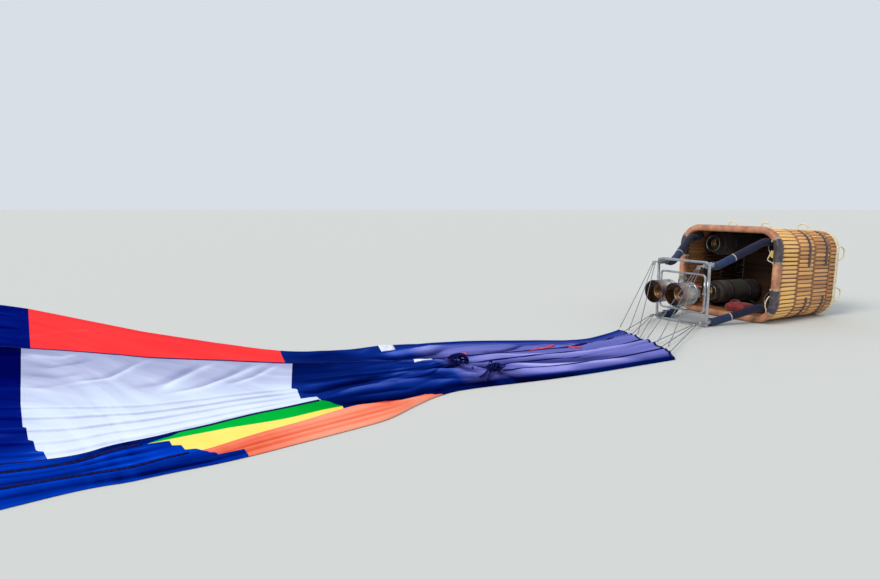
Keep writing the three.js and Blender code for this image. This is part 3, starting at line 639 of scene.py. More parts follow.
def wall_spot(x, place, out=0.0, size=wall_size):
    """A frame on the wall: X towards the floor, Y along the wall and Z outwards."""
    (y, z), (out_y, out_z) = round_wall(place, *size)
    draw = 1 - taper * max(0.0, x) / deep
    along = Vector((1, -taper / deep * y * (x > 0), -taper / deep * z * (x > 0))).normalized()
    side = Vector((0, out_y, out_z)).cross(along).normalized()
    turn = Matrix((along, side, along.cross(side))).transposed().to_4x4()
    return Matrix.Translation((x, (y + out_y * out) * draw, (z + out_z * out) * draw)) @ turn


def drawn_in(x, y, z):
    """A place in the basket, drawn in as its walls are."""
    draw = 1 - taper * max(0.0, x) / deep
    return x, y * draw, z * draw


def along_line(points, closed=False):
    """Frames on a line: Z along it, turning as little as possible from one to the next."""
    stations = []
    count = len(points)
    for i, point in enumerate(points):
        after = points[(i + 1) % count] if closed or i < count - 1 else point
        before = points[i - 1] if closed or i > 0 else point
        ahead = (after - before).normalized()
        turn = ahead.to_track_quat("Z", "Y") if i == 0 else last.rotation_difference(ahead) @ turn
        last = ahead
        stations.append(Matrix.Translation(point) @ turn.to_matrix().to_4x4())
    return stations


def swept(whole, section, stations, closed=False, tone=0.5):
    """Draws a closed section through stations that hold it in their XY plane, and caps or joins the ends."""
    bm = bmesh.new()
    verts = [bm.verts.new(stations[0] @ Vector((a, b, 0))) for a, b in section]
    loop = first = [bm.edges.new(pair) for pair in zip(verts, verts[1:] + verts[:1])]
    before = stations[0]
    for station in stations[1:] + stations[:1] * closed:
        made = bmesh.ops.extrude_edge_only(bm, edges=loop)["geom"]
        moved = [item for item in made if isinstance(item, bmesh.types.BMVert)]
        bmesh.ops.transform(bm, matrix=station @ before.inverted(), verts=moved)
        edges = [item for item in made if isinstance(item, bmesh.types.BMEdge)]
        loop = [edge for edge in edges if set(edge.verts) <= set(moved)]
        before = station
    if closed:
        bmesh.ops.remove_doubles(bm, verts=verts + moved, dist=0.0004)
    else:
        for open_end in (first, loop):
            bmesh.ops.edgeloop_fill(bm, edges=open_end)
    copies(whole, bm, [on_ground], [tone])


def copies(whole, shape, places, tones):
    """Adds a small shape at every place, each copy with a tone of its own for its material."""
    small = bpy.data.meshes.new("small_shape")
    shape.to_mesh(small)
    shape.free()
    small.attributes.new("tone", "FLOAT", "POINT")
    for place, tone in zip(places, tones):
        copy = small.copy()
        copy.transform(place)
        copy.attributes["tone"].data.foreach_set("value", [tone] * len(copy.vertices))
        whole.from_mesh(copy)
        bpy.data.meshes.remove(copy)
    bpy.data.meshes.remove(small)


def toned():
    """An empty mesh whose parts keep their tone."""
    bm = bmesh.new()
    bm.verts.layers.float.new("tone")
    return bm


def oval(radius, sides, flat=1.0):
    """A round or flattened section."""
    return [(radius * cos(tau * i / sides), flat * radius * sin(tau * i / sides)) for i in range(sides)]


def circle(radius, count, height=0.0):
    """Points round Z."""
    return [Vector((*point, height)) for point in oval(radius, count)]


def rod(whole, points, radius, sides=6, closed=False, flat=1.0, tone=0.5):
    """A bar along points."""
    swept(whole, oval(radius, sides, flat), along_line(points, closed), closed, tone)


def ring(whole, place, radius, height, count, bar, sides):
    """A bar bent to a ring round the place's Z."""
    rod(whole, [place @ point for point in circle(radius, count, height)], bar, sides, True)


def lathe(whole, profile, place, sides=28):
    """Turns a profile of (radius, height) round Z, then puts it in its place. A radius of 0 closes it."""
    bm = bmesh.new()
    verts = [bm.verts.new((radius, 0, height)) for radius, height in profile]
    edges = [bm.edges.new(pair) for pair in zip(verts, verts[1:])]
    bmesh.ops.spin(bm, geom=verts + edges, axis=(0, 0, 1), angle=tau, steps=sides, use_merge=True)
    bmesh.ops.remove_doubles(bm, verts=bm.verts, dist=0.00002)
    copies(whole, bm, [place], [0.5])


def facing(x, y, z, turn, axis):
    """A place with its Z turned towards another axis."""
    return Matrix.Translation((x, y, z)) @ Matrix.Rotation(turn, 4, axis)


def made_piece(name, bm, material, solids=(), place=in_basket, body="root"):
    """Turns a mesh into a piece in its place, on its body and the solids it stands for."""
    bmesh.ops.recalc_face_normals(bm, faces=bm.faces)
    piece = built(name, bm)
    piece.data.transform(place)
    for vert in piece.data.vertices:
        vert.co.z = max(vert.co.z, 0.0002)
    for face in piece.data.polygons:
        face.use_smooth = True
    piece.data.materials.append(material)
    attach(piece, body)
    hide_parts(*solids)
    return piece


def cloudy(name, colour, roughness, stops, scale, detail=3.0, distortion=0.0, metallic=0.0, sockets=(),
           relief=None, bumps=()):
    """A material in cloudy colours. Its relief (distance, strength) follows them, and its bumps (scale,
    detail, distance, strength) don't."""
    material = finish(name, colour, roughness, metallic, sockets)
    clouds = grain(material, place_on(material), scale, detail, distortion)
    colours(material, clouds, stops)
    if relief:
        raised(material, clouds, *relief)
    for bump_scale, bump_detail, distance, strength in bumps:
        raised(material, grain(material, place_on(material), bump_scale, bump_detail), distance, strength)
    return material


def wood(name, colour, roughness, stops, stretch, distortion, distance, strength):
    """Wood, its fibres drawn out along the layout of the basket."""
    material = finish(name, colour, roughness)
    fibres = grain(material, place_on(material, "Object", stretch, heading), 1.0, 6.0, distortion)
    colours(material, fibres, stops)
    raised(material, fibres, distance, strength)
    return material


def repaint(material, *names):
    """Gives a better material to solids whose shape is right."""
    for name in names:
        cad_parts[name].data.materials.clear()
        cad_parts[name].data.materials.append(material)


# Woven wall: willow rods laid in pairs over a close woven core. They stand in four bands from the rim to
# the floor, half a step apart from band to band, and rounds of rods tie each band to the next.
rng = random.Random(7)
wicker = finish("willow", (196, 142, 84), 0.5, sockets={"Coat Weight": 0.12, "Coat Roughness": 0.35})
streak = grain(wicker, place_on(wicker, "Object", (3, 95, 95), heading), 1.0, 4.0)
streaked = math_on(wicker, "MULTIPLY", math_on(wicker, "SUBTRACT", streak, 0.5), 0.42)
colours(wicker, math_on(wicker, "ADD", attribute(wicker, "tone"), streaked), [
    (0.0, 30, 18, 12), (0.14, 66, 40, 24), (0.32, 136, 84, 44), (0.55, 196, 138, 80), (0.76, 238, 178, 106),
    (1.0, 255, 202, 116)])
raised(wicker, streak, 0.0012, 0.6)

rod_rows = [(0.045, 0.385, 0.96), (0.4, 0.72, 0.64), (0.735, 1.045, 0.6), (1.06, 1.2, 0.54)]
around = wall_length(*wall_size)
rod_count = 90
rod_section = [(-0.018, -0.004), (-0.018, 0.002), (-0.009, 0.0085), (0.0, 0.0045), (0.009, 0.0085),
               (0.018, 0.002), (0.018, -0.004)]
rod_dips = [(0, -0.01), (0.1, -0.002), (0.3, 0.0005), (0.7, 0.0005), (0.9, -0.002), (1, -0.01)]
lay_along = Matrix(((0, 0, 1), (1, 0, 0), (0, 1, 0))).to_4x4()
# Inside the wall every rod is painted darker by the shade amount, as painted shade inside the basket
for name, depth, side, shade in (("wicker_outside", -0.0065, 1, 0.0), ("wicker_inside", -0.0265, -1, 0.54)):
    weave = toned()
    for number, (start, end, tone) in enumerate(rod_rows):
        shape = bmesh.new()
        swept(shape, rod_section, [
            Matrix.Translation(((end - start) * (k - 0.5), 0, dip)) @ lay_along for k, dip in rod_dips])
        places = []
        for i in range(rod_count):
            spot = wall_spot((start + end) / 2, around * (i + 0.5 * (number % 2)) / rod_count, depth)
            size = Matrix.Diagonal((1, rng.uniform(0.84, 1.1), side, 1))
            places.append(spot @ Matrix.Rotation(rng.uniform(-0.012, 0.012), 4, "Z") @ size)
        tones = [max(0.06, tone - shade) + rng.uniform(-0.12, 0.12) * (1 - shade) for _ in places]
        copies(weave, shape, places, tones)
    # The rounds between the bands are painted darker than the rods, as painted shade in the grooves they lie
    # in
    for edge in (0.3925, 0.7275, 1.0525):
        for aside in (-0.0075, 0.0, 0.0075):
            waves = [side * 0.0022 * sin(tau * i / 6 + aside * 400) for i in range(270)]
            rod(weave, [wall_spot(edge + aside, around * i / 270, depth + wave).translation
                        for i, wave in enumerate(waves)], 0.0042, 5, True, tone=0.4 - shade)
    made_piece(name, weave, wicker, ["basket_wall"])

across_wall = Matrix(((1, 0, 0), (0, 0, 1), (0, 1, 0))).to_4x4()
core_middle = 0.634
core_section = [(-0.595, 0.008), (-0.595, -0.01), (0.595, -0.01), (0.595, 0.008)]
# The core, seen between the rods, is painted dark brown, as painted shade in the gaps
core = toned()
core_stations = [wall_spot(core_middle, around * i / 120, -0.016) @ across_wall for i in range(120)]
swept(core, core_section, core_stations, True, 0.22)
made_piece("wicker_core", core, wicker)

# Padded roll: tan leather sewn over foam round the rim. A row of stitches follows each edge of the hide, and
# a thong through the weave holds it every few centimetres.
round_roll = wall_length(*roll_size)
roll_long, roll_thick = 0.0475, 0.041


def leather(name, colour, dark, worn, gloss=0.5):
    """Leather: fine cells, a cloudy colour and worn lighter spots."""
    material = cloudy(name, colour, gloss, [(0.28, *dark), (0.5, *colour), (0.78, *worn)], 9.0, 6.0, 0.5,
                      sockets={"Coat Weight": 0.1, "Coat Roughness": 0.4})
    cells = node(material, "TexVoronoi", {"Vector": place_on(material)}, values={"Scale": 420.0})
    raised(material, cells.outputs["Distance"], 0.0007, 0.5)
    raised(material, grain(material, place_on(material), 26.0, 4.0), 0.004, 0.5)
    return material


def lay_on_roll(place, scale=1.0):
    """A frame in the middle of the roll: the section's X runs to the floor and its Y outwards."""
    spot = wall_spot((roll_start + roll_end) / 2, place, -0.041, roll_size)
    return spot @ across_wall @ Matrix.Scale(scale, 4)


def round_section(half_long, half_thick, angle):
    """A point of the roll's full, rounded section."""
    a, power = radians(angle), 0.72
    return Vector((half_long * copysign(abs(cos(a)) ** power, cos(a)),
                   half_thick * copysign(abs(sin(a)) ** power, sin(a)), 0))


def lacing(whole, path, lead, length, count, radius, sides, flat=1.0):
    """Short thongs in and out of the wall, each on a path of (x, out) that leads on round it."""
    for start in (length * i / count for i in range(count)):
        rod(whole, [wall_spot(x, start + lead * k, out).translation for k, (x, out) in enumerate(path)],
            radius, sides, flat=flat)


tan_leather = leather("tan_leather", (178, 120, 88), (132, 84, 62), (206, 152, 116))
roll = toned()
roll_section = [round_section(roll_long, roll_thick, 18 * i)[:2] for i in range(20)]
roll_stations = [lay_on_roll(round_roll * i / 150, 1 + 0.02 * rough(i * 0.31, 0, 0)) for i in range(150)]
swept(roll, roll_section, roll_stations, True)
made_piece("leather_roll", roll, tan_leather, ["rim_roll"])

cream_stops = [(0.3, 198, 176, 134), (0.6, 234, 221, 188), (0.85, 248, 240, 216)]
cream = cloudy("rawhide", (232, 218, 184), 0.62, cream_stops, 40.0, 5.0, relief=(0.002, 0.7))
stitches = toned()
for angle in (52, -52):
    for i in range(270):
        rod(stitches, [lay_on_roll(round_roll * i / 270 + ahead)
                       @ round_section(roll_long + lift, roll_thick + lift, angle)
                       for ahead, lift in ((-0.0055, -0.001), (0.0, 0.0014), (0.0055, -0.001))], 0.0011, 4)
made_piece("roll_stitches", stitches, cream)
thongs = toned()
thong_path = [(0.026, 0.01), (0.036, 0.013), (0.05, 0.006), (0.062, -0.004)]
lacing(thongs, thong_path, 0.012, round_roll, 96, 0.004, 6, 0.5)
made_piece("roll_thongs", thongs, tan_leather)

# Corner guards: thick dark leather wrapped over the roll at its four corners, open where it meets the wall.
# Each is laced on with a cream thong at both ends.
dark_leather = leather("dark_leather", (60, 52, 58), (34, 29, 34), (106, 92, 96), 0.42)
guard_start, guard_end = 0.15, 0.459
guard_opening = 40
guards, guard_laces = toned(), toned()
guard_angles = [guard_opening + 280 * i / 17 for i in range(18)]
guard_section = [round_section(0.0515, 0.0452, angle)[:2] for angle in guard_angles]
guard_section += [round_section(0.0479, 0.0416, 360 - angle)[:2] for angle in guard_angles]
for middle, turn in ((0, 1), (0, -1), (round_roll / 2, 1), (round_roll / 2, -1)):
    places = [middle + turn * (guard_start + (guard_end - guard_start) * k / 16) for k in range(17)]
    swept(guards, guard_section, [lay_on_roll(place) for place in places])
    for end, ahead in ((guard_start, 0.011), (guard_end, -0.011)):
        for angle in range(50, 320, 15):
            rod(guard_laces, [
                lay_on_roll(middle + turn * (end + ahead * k))
                @ round_section(0.0535 + lift, 0.0475 + lift, angle + 5 * k)
                for k, lift in ((-0.6, -0.004), (0.0, 0.0008), (1.0, 0.0008), (1.6, -0.004))], 0.0021, 5)
guard_solids = [f"rim_guard_{place}" for place, _, _ in corners]
made_piece("corner_guards", guards, dark_leather, guard_solids)
made_piece("guard_laces", guard_laces, cream)

# Edging: a rawhide band folded round the foot of the wall, where it guards the ends of the rods. A thong is
# whipped over its upper edge, through the weave.
edging = toned()
edge_section = [(-0.029, 0.0005), (-0.027, 0.006), (-0.02, 0.009), (0.02, 0.009), (0.027, 0.006),
                (0.0295, 0.0005)]
swept(edging, edge_section, [wall_spot(1.2, around * i / 150, 0.001 * rough(i * 0.4, 3, 0)) @ across_wall
                             for i in range(150)], True)
whipping_path = [(1.16, -0.003), (1.166, 0.004), (1.176, 0.0066), (1.186, 0.005)]
lacing(edging, whipping_path, 0.006, around, 150, 0.0028, 5)
made_piece("rawhide_edging", edging, cream, ["floor_edging"])

# Ropes: cream laid rope, with a loop at each corner of the floor end and three handles through the wall that
# is on top. Two small loops hang at the near guards.
strand_pitch, strand_share = 0.05, 0.52


def smooth_line(points, step):
    """Points close together on a smooth line through the given ones."""
    points = [Vector(point) for point in points]
    ends = [points[0] * 2 - points[1], *points, points[-1] * 2 - points[-2]]
    line = []
    for a, b, c, d in zip(ends, ends[1:], ends[2:], ends[3:]):
        count = max(2, round((c - b).length / step))
        for k in (i / count for i in range(count)):
            square, cube = 2 * a - 5 * b + 4 * c - d, 3 * b - a - 3 * c + d
            line.append(0.5 * (2 * b + (c - a) * k + square * k**2 + cube * k**3))
    return [*line, points[-1]]


def rope(whole, points, radius):
    """A rope of three twisted strands through the points."""
    line = smooth_line(points, 0.009)
    walked = [0.0]
    for a, b in zip(line, line[1:]):
        walked.append(walked[-1] + (b - a).length)
    strand = strand_share * radius
    for third in range(3):
        turns = [tau * (w / strand_pitch + third / 3) for w in walked]
        rod(whole, [station @ Vector((strand * cos(a), strand * sin(a), 0))
                    for station, a in zip(along_line(line), turns)], strand, 6)


ropes = toned()
outside = wall_size[0] / 2 + 0.0103
loop_shape = [(deep - 0.04, -0.075), (deep + 0.02, -0.085), (deep + 0.095, -0.045), (deep + 0.095, 0.045),
              (deep + 0.02, 0.085), (deep - 0.04, 0.075)]
for _, side, up in corners:
    rope(ropes, [drawn_in(x, side * outside, up * 0.27 + z) for x, z in loop_shape], 0.009)
made_piece("floor_loops", ropes, cream, ["floor_edging"])
handle_shape = [(-0.065, -0.012), (-0.065, 0.04), (-0.0325, 0.072), (0.0325, 0.072), (0.065, 0.04),
                (0.065, -0.012)]
for i, middle in enumerate((-0.5, 0.0, 0.5)):
    handle = toned()
    rope(handle, [drawn_in(0.7, middle + y, wall_high / 2 + z) for y, z in handle_shape], 0.009)
    made_piece(f"handle_{i + 1}", handle, cream, [f"rope_handle_{i + 1}"])
upper_loop = [(-0.045, -0.6, 0.3), (-0.06, -0.585, 0.24), (-0.055, -0.565, 0.19), (-0.03, -0.6, 0.16)]
lower_loop = [(-0.02, -0.62, -0.22), (-0.05, -0.6, -0.26), (-0.062, -0.585, -0.34), (-0.04, -0.6, -0.42)]
guard_loops = toned()
rope(guard_loops, upper_loop, 0.006)
rope(guard_loops, lower_loop, 0.007)
made_piece("guard_loops", guard_loops, cream)

# Lifting straps: dark webbing laid round the two near corners of the wall. Their ends are tucked into the
# weave.
strap_section = [(-0.0225, 0.0), (-0.0225, 0.0028), (-0.019, 0.0036), (0.019, 0.0036), (0.0225, 0.0028),
                 (0.0225, 0.0)]
straps = toned()
for x in (0.6, 0.96):
    for start, end in ((0.1, 0.64), (-0.27, -0.66)):
        swept(straps, strap_section, [
            wall_spot(x, start + (end - start) * k / 24, -0.006 if k in (0, 24) else 0.0028) @ across_wall
            for k in range(25)])
made_piece("lifting_straps", straps, dark_leather)

# Fuel cylinders: aluminium bottles in dark padded covers with two belts each, lying in the corners of the
# basket with their valves to the rim. The covers have piped ends, and a collar guards each brass valve.
cover_bumps = [(700.0, 1.0, 0.0008, 0.6), (12.0, 3.0, 0.012, 0.6)]
cover_cloth = cloudy("cylinder_cover", (34, 28, 28), 0.7, [(0.3, 24, 19, 19), (0.75, 52, 42, 38)], 6.0, 5.0,
                     sockets={"Sheen Weight": 0.2}, bumps=cover_bumps)
steel = cloudy("steel", (186, 188, 192), 0.3, [(0.3, 150, 152, 158), (0.7, 204, 206, 210)], 14.0, 6.0,
               metallic=1.0)
brushed = grain(steel, place_on(steel, "Object", (30, 30, 600)), 1.0, 2.0)
steel_gloss = math_on(steel, "MULTIPLY_ADD", brushed, 0.22, 0.2)
steel.node_tree.links.new(steel_gloss, shader_of(steel).inputs["Roughness"])
raised(steel, brushed, 0.0002, 0.4)
brass = cloudy("brass", (214, 170, 92), 0.32, [(0.3, 176, 132, 66), (0.7, 228, 188, 112)], 60.0, metallic=1.0)
belt_heights = (0.262, 0.622)
valve_height = 0.905
cover_profile = [
    (0, 0.012), (0.09, 0.012), (0.093, 0.001), (0.106, 0.001), (0.117, 0.026), (0.1455, 0.066),
    (0.1478, 0.098), (0.1502, 0.102), (0.1478, 0.107), (0.149, 0.18), (0.15, 0.24), (0.1462, 0.262),
    (0.15, 0.284), (0.1495, 0.44), (0.15, 0.6), (0.1462, 0.622), (0.15, 0.644), (0.149, 0.72),
    (0.1478, 0.776), (0.1502, 0.78), (0.1478, 0.785), (0.1425, 0.806), (0.124, 0.828), (0.096, 0.838),
    (0, 0.838)]
belt_profile = [(0.1445, -0.018), (0.1498, -0.019), (0.1498, 0.019), (0.1445, 0.018), (0.1445, -0.018)]
collar_profile = [(0.098, 0.8375), (0.104, 0.8375), (0.1045, 0.868), (0.0995, 0.872), (0.0995, 0.892),
                  (0.1045, 0.896), (0.105, 0.92), (0.102, 0.9225), (0.098, 0.918), (0.098, 0.8375)]
valve_profile = [(0, 0.838), (0.021, 0.838), (0.021, 0.862), (0.014, 0.868), (0.014, 0.884), (0.019, 0.888),
                 (0.019, 0.902), (0.008, 0.905), (0.008, 0.9095), (0, 0.9095)]
belts, collars, valves = toned(), toned(), toned()
for place, side, up in corners:
    on_floor = facing(deep - 0.0363, side * 0.446, up * 0.322, -pi / 2, "Y")
    cover = toned()
    lathe(cover, cover_profile, on_floor, 36)
    name, solid = f"cylinder_cover_{place}", f"fuel_cylinder_{place}"
    made_piece(name, cover, cover_cloth, [solid])
    for height in belt_heights:
        lathe(belts, belt_profile, on_floor @ Matrix.Translation((0, 0, height)), 36)
        rod(belts, [on_floor @ Vector((-0.15, y, height)) for y in (-0.02, 0.02)], 0.009, 8, flat=0.35)
    lathe(collars, collar_profile, on_floor, 36)
    lathe(valves, valve_profile, on_floor, 16)
    for spoke in circle(0.032, 3, valve_height):
        rod(valves, [on_floor @ Vector((0, 0, valve_height)), on_floor @ spoke], 0.003)
    ring(valves, on_floor, 0.033, valve_height, 20, 0.0042, 6)
    rod(valves, [on_floor @ Vector((0.01 + 0.012 * k, 0, 0.878)) for k in range(5)], 0.008, 8)
made_piece("cylinder_belts", belts, dark_leather)
made_piece("cylinder_collars", collars, steel)
made_piece("cylinder_valves", valves, brass)

# Floor: a board of dark varnished ply in the foot of the wall. Under it lie three ash skids, each held by
# four domed steel bolts.
ply_stops = [(0.3, 46, 28, 18), (0.5, 72, 45, 27), (0.75, 96, 62, 38)]
ash_stops = [(0.3, 112, 74, 42), (0.55, 158, 112, 68), (0.8, 186, 142, 92)]
ply = wood("floor_board", (74, 46, 28), 0.45, ply_stops, (12, 0.9, 12), 1.4, 0.0006, 0.4)
ash = wood("skid_wood", (150, 108, 66), 0.6, ash_stops, (40, 2.5, 40), 0.6, 0.001, 0.6)
repaint(ply, "basket_floor")
repaint(ash, "floor_skid_1", "floor_skid_2", "floor_skid_3")
bolt_profile = [(0, 0.006), (0.006, 0.0055), (0.011, 0.003), (0.013, 0.0), (0, 0.0)]
bolts = toned()
for z in (-0.3, 0.0, 0.3):
    for y in (-0.5, -0.17, 0.17, 0.5):
        lathe(bolts, bolt_profile, facing(deep + 0.0385, y, z, pi / 2, "Y"), 14)
made_piece("skid_bolts", bolts, steel)

# Kit by the rim: a slack red bag with a webbing handle and belt lies on the lower wall, and a yellow pouch
# hangs at the near guard. Both are sewn cloth, pressed flat where they rest.
kit_weave = [(900.0, 1.0, 0.0006, 0.6)]
kit_sheen = {"Sheen Weight": 0.3}


def soft_bag(name, middle, size, solid, material, fullness):
    """A slack bag: a box blown up towards its middle, with pulled-in corners and a wrinkled top."""
    bm = bmesh.new()
    bmesh.ops.create_cube(bm, size=2)
    bmesh.ops.subdivide_edges(bm, edges=bm.edges, cuts=14, use_grid_fill=True)
    for vert in bm.verts:
        x, y, z = vert.co
        crown_height = z * ((1 - abs(x) ** 3.5) * (1 - abs(y) ** 3.5)) ** fullness
        wrinkle = rough(x * 2.2, y * 3.1, z * 2 + middle[0] * 9) * 0.16 * (z > -0.9)
        pull = 1 - 0.06 * (abs(x) * abs(y)) ** 2
        vert.co = Vector((x * pull, y * pull, crown_height if z < 0 else crown_height * (0.86 + wrinkle)))
    bmesh.ops.scale(bm, vec=Vector(size) / 2, verts=bm.verts)
    bmesh.ops.translate(bm, vec=Vector(middle), verts=bm.verts)
    bmesh.ops.remove_doubles(bm, verts=bm.verts, dist=0.0003)
    made_piece(name, bm, material, [solid])


red_cloth = cloudy("red_cloth", (136, 16, 26), 0.62, [(0.3, 100, 8, 16), (0.75, 160, 24, 34)], 14.0, 4.0,
                   sockets=kit_sheen, bumps=kit_weave)
yellow_cloth = cloudy("yellow_cloth", (246, 204, 70), 0.6, [(0.3, 214, 160, 40), (0.7, 255, 222, 96)],
                      40.0, 4.0, sockets=kit_sheen, bumps=kit_weave)
soft_bag("red_kit_bag", drawn_in(0.28, -0.02, -0.4577), (0.256, 0.296, 0.118), "red_bag",
         red_cloth, 0.3)
soft_bag("yellow_kit_pouch", (0.0785, -0.578, 0.254), (0.068, 0.134, 0.106), "yellow_pouch",
         yellow_cloth, 0.35)
bag_handle = [(0.2, -0.1, -0.43), (0.19, -0.09, -0.392), (0.2, -0.02, -0.366), (0.19, 0.05, -0.392),
              (0.2, 0.06, -0.43)]
bag_belt = [(0.3, 0.1, -0.44), (0.52, 0.2, -0.47), (0.74, 0.1, -0.505), (0.96, 0.02, -0.506)]
bag_webbing = toned()
rod(bag_webbing, smooth_line([drawn_in(*point) for point in bag_handle], 0.01), 0.01, 8, flat=0.25)
rod(bag_webbing, smooth_line([drawn_in(*point) for point in bag_belt], 0.02), 0.012, 8, flat=0.2)
made_piece("bag_webbing", bag_webbing, red_cloth)

# Poles: nylon rods in padded navy sleeves, from the basket's corners to the sockets of the burner frame.
# The lower part of each sleeve is a worn, bluer length, joined by a sewn band painted light as a highlight on
# its seam.
frame_x, frame_z, half_frame = -0.8, 0.3803, 0.328
navy_pad = finish("pole_sleeve", (22, 25, 58), 0.65,
                  sockets={"Sheen Weight": 0.12, "Specular IOR Level": 0.2})
pad_clouds = grain(navy_pad, place_on(navy_pad), 16.0, 4.0)
colours(navy_pad, math_on(navy_pad, "MULTIPLY_ADD", pad_clouds, 0.3, attribute(navy_pad, "tone")), [
    (0.1, 12, 14, 34), (0.4, 24, 26, 60), (0.6, 24, 42, 76), (0.85, 38, 62, 96), (1.0, 176, 164, 156)])
raised(navy_pad, grain(navy_pad, place_on(navy_pad), 800.0, 1.0), 0.0006, 0.5)
raised(navy_pad, grain(navy_pad, place_on(navy_pad), 11.0, 3.0), 0.01, 0.7)
basket_in_rig = rig.inverted() @ in_basket
sleeve_section, band_section, band_place = oval(0.046, 18), oval(0.046 * 1.03, 18), 0.66


def in_corner(x, reach, side, up):
    """A place in a corner of the basket, at a reach from the middle of its rounding."""
    out = reach * sqrt(0.5)
    return basket_in_rig @ Vector((x, side * (0.43 + out), up * (0.3 + out)))


for place, side, up in corners:
    rim_point = in_corner(roll_start - 0.04, 0.118, side, up)
    head = Vector((frame_x + 0.0903, side * half_frame, frame_z + up * half_frame))
    neck = head + Vector((0.1197, 0, 0))
    line = smooth_line([in_corner(0.165, 0.1682, side, up), in_corner(0.0, 0.132, side, up), rim_point,
                        rim_point.lerp(neck, 0.5), neck, head], 0.012)
    bulges = [0.985 + 0.025 * rough(i * 0.16, side * 3, up * 5) for i in range(len(line))]
    stations = [station @ Matrix.Scale(bulge, 4) for station, bulge in zip(along_line(line), bulges)]
    joint = round(len(line) * band_place)
    sleeve = toned()
    swept(sleeve, sleeve_section, stations[:joint], tone=0.08)
    swept(sleeve, sleeve_section, stations[joint:], tone=0.5)
    # The band at the joint is painted light, a painted highlight on the seam
    swept(sleeve, band_section, stations[joint - 1:joint + 1], tone=0.85)
    rod(sleeve, [station @ Vector((0.0, -0.0455, 0)) for station in stations[4:-4]], 0.0035, 5, tone=0.0)
    piece = made_piece(f"sleeve_{place}", sleeve, navy_pad, [f"pole_{place}"], rig)

# Burner frame and gimbal: brushed steel tube with welded sockets. Screws clamp the sockets on the poles, and
# a nut holds each gimbal pin.
alloy = cloudy("cast_alloy", (150, 152, 156), 0.45, [(0.3, 112, 114, 118), (0.7, 172, 174, 178)], 30.0, 5.0,
               metallic=1.0, bumps=[(260.0, 3.0, 0.0012, 0.6)])
repaint(steel, "burner_frame", "gimbal_ring", *[f"karabiner_{place}" for place, _, _ in corners])
repaint(alloy, "burner_block")
nut = [(0, 0.0095), (0.008, 0.0095), (0.011, 0.008), (0.011, 0.0), (0, 0.0)]
weld_reach = 0.0312
screws = toned()
for _, side, up in corners:
    y, z = side * half_frame, frame_z + up * half_frame
    for x in (0.035, 0.068):
        lathe(screws, nut, facing(frame_x + x, y, z + up * 0.0285, pi * (up < 0), "X"), 6)
    for end in (0.0015, 0.0885):
        rod(screws, [Vector((frame_x + end, y + weld_reach * cos(a), z + weld_reach * sin(a)))
                     for a in (tau * i / 24 for i in range(24))], 0.0026, 6, True)
made_piece("frame_screws", screws, steel, place=rig)
gimbal_nuts = toned()
gimbal_nut = [(radius * 1.5, height * 0.7) for radius, height in nut]
for side in (-1, 1):
    for y, z, turn in ((side * 0.304, 0, side * pi / 2), (0, side * 0.2045, -pi * (side > 0))):
        lathe(gimbal_nuts, gimbal_nut, facing(frame_x, y, frame_z + z, turn, "X"), 6)
made_piece("gimbal_nuts", gimbal_nuts, steel, place=rig, body="gimbal")

# Burners: two open steel cans, blued by heat towards their mouths, each with a rolled lip, a wound coil of
# steel tube and a brass jet ring inside. The valve block has gripped levers and two gauges.
hot_steel = finish("hot_steel", (186, 188, 192), 0.28, 1.0)
hot_place = node(hot_steel, "SeparateXYZ", {"Vector": place_on(hot_steel, turn=heading)}).outputs["X"]
can_front = (rig.to_euler().to_matrix().inverted() @ (rig @ Vector((frame_x - 0.31, 0, 0)))).x
heat = math_on(hot_steel, "MULTIPLY_ADD", grain(hot_steel, place_on(hot_steel), 9.0, 4.0), 0.1,
               math_on(hot_steel, "SUBTRACT", hot_place, can_front))
heat_stops = [(0.0, 96, 84, 88), (0.14, 104, 98, 128), (0.3, 166, 140, 108), (0.5, 188, 186, 184),
              (1.0, 200, 202, 206)]
colours(hot_steel, math_on(hot_steel, "MULTIPLY", heat, 2.6), heat_stops)
raised(hot_steel, grain(hot_steel, place_on(hot_steel), 18.0, 2.0), 0.004, 0.25)
repaint(hot_steel, "burner_can_near", "burner_can_far")
coil_stops = [(0.25, 92, 74, 70), (0.5, 158, 118, 82), (0.8, 188, 158, 122)]
coil_steel = cloudy("coil_steel", (150, 116, 86), 0.4, coil_stops, 26.0, 5.0, metallic=1.0)
coil_radius, coil_high, coil_steps = 0.0785, 0.165, 264
jet_radius = 0.034
lips, jets = toned(), toned()
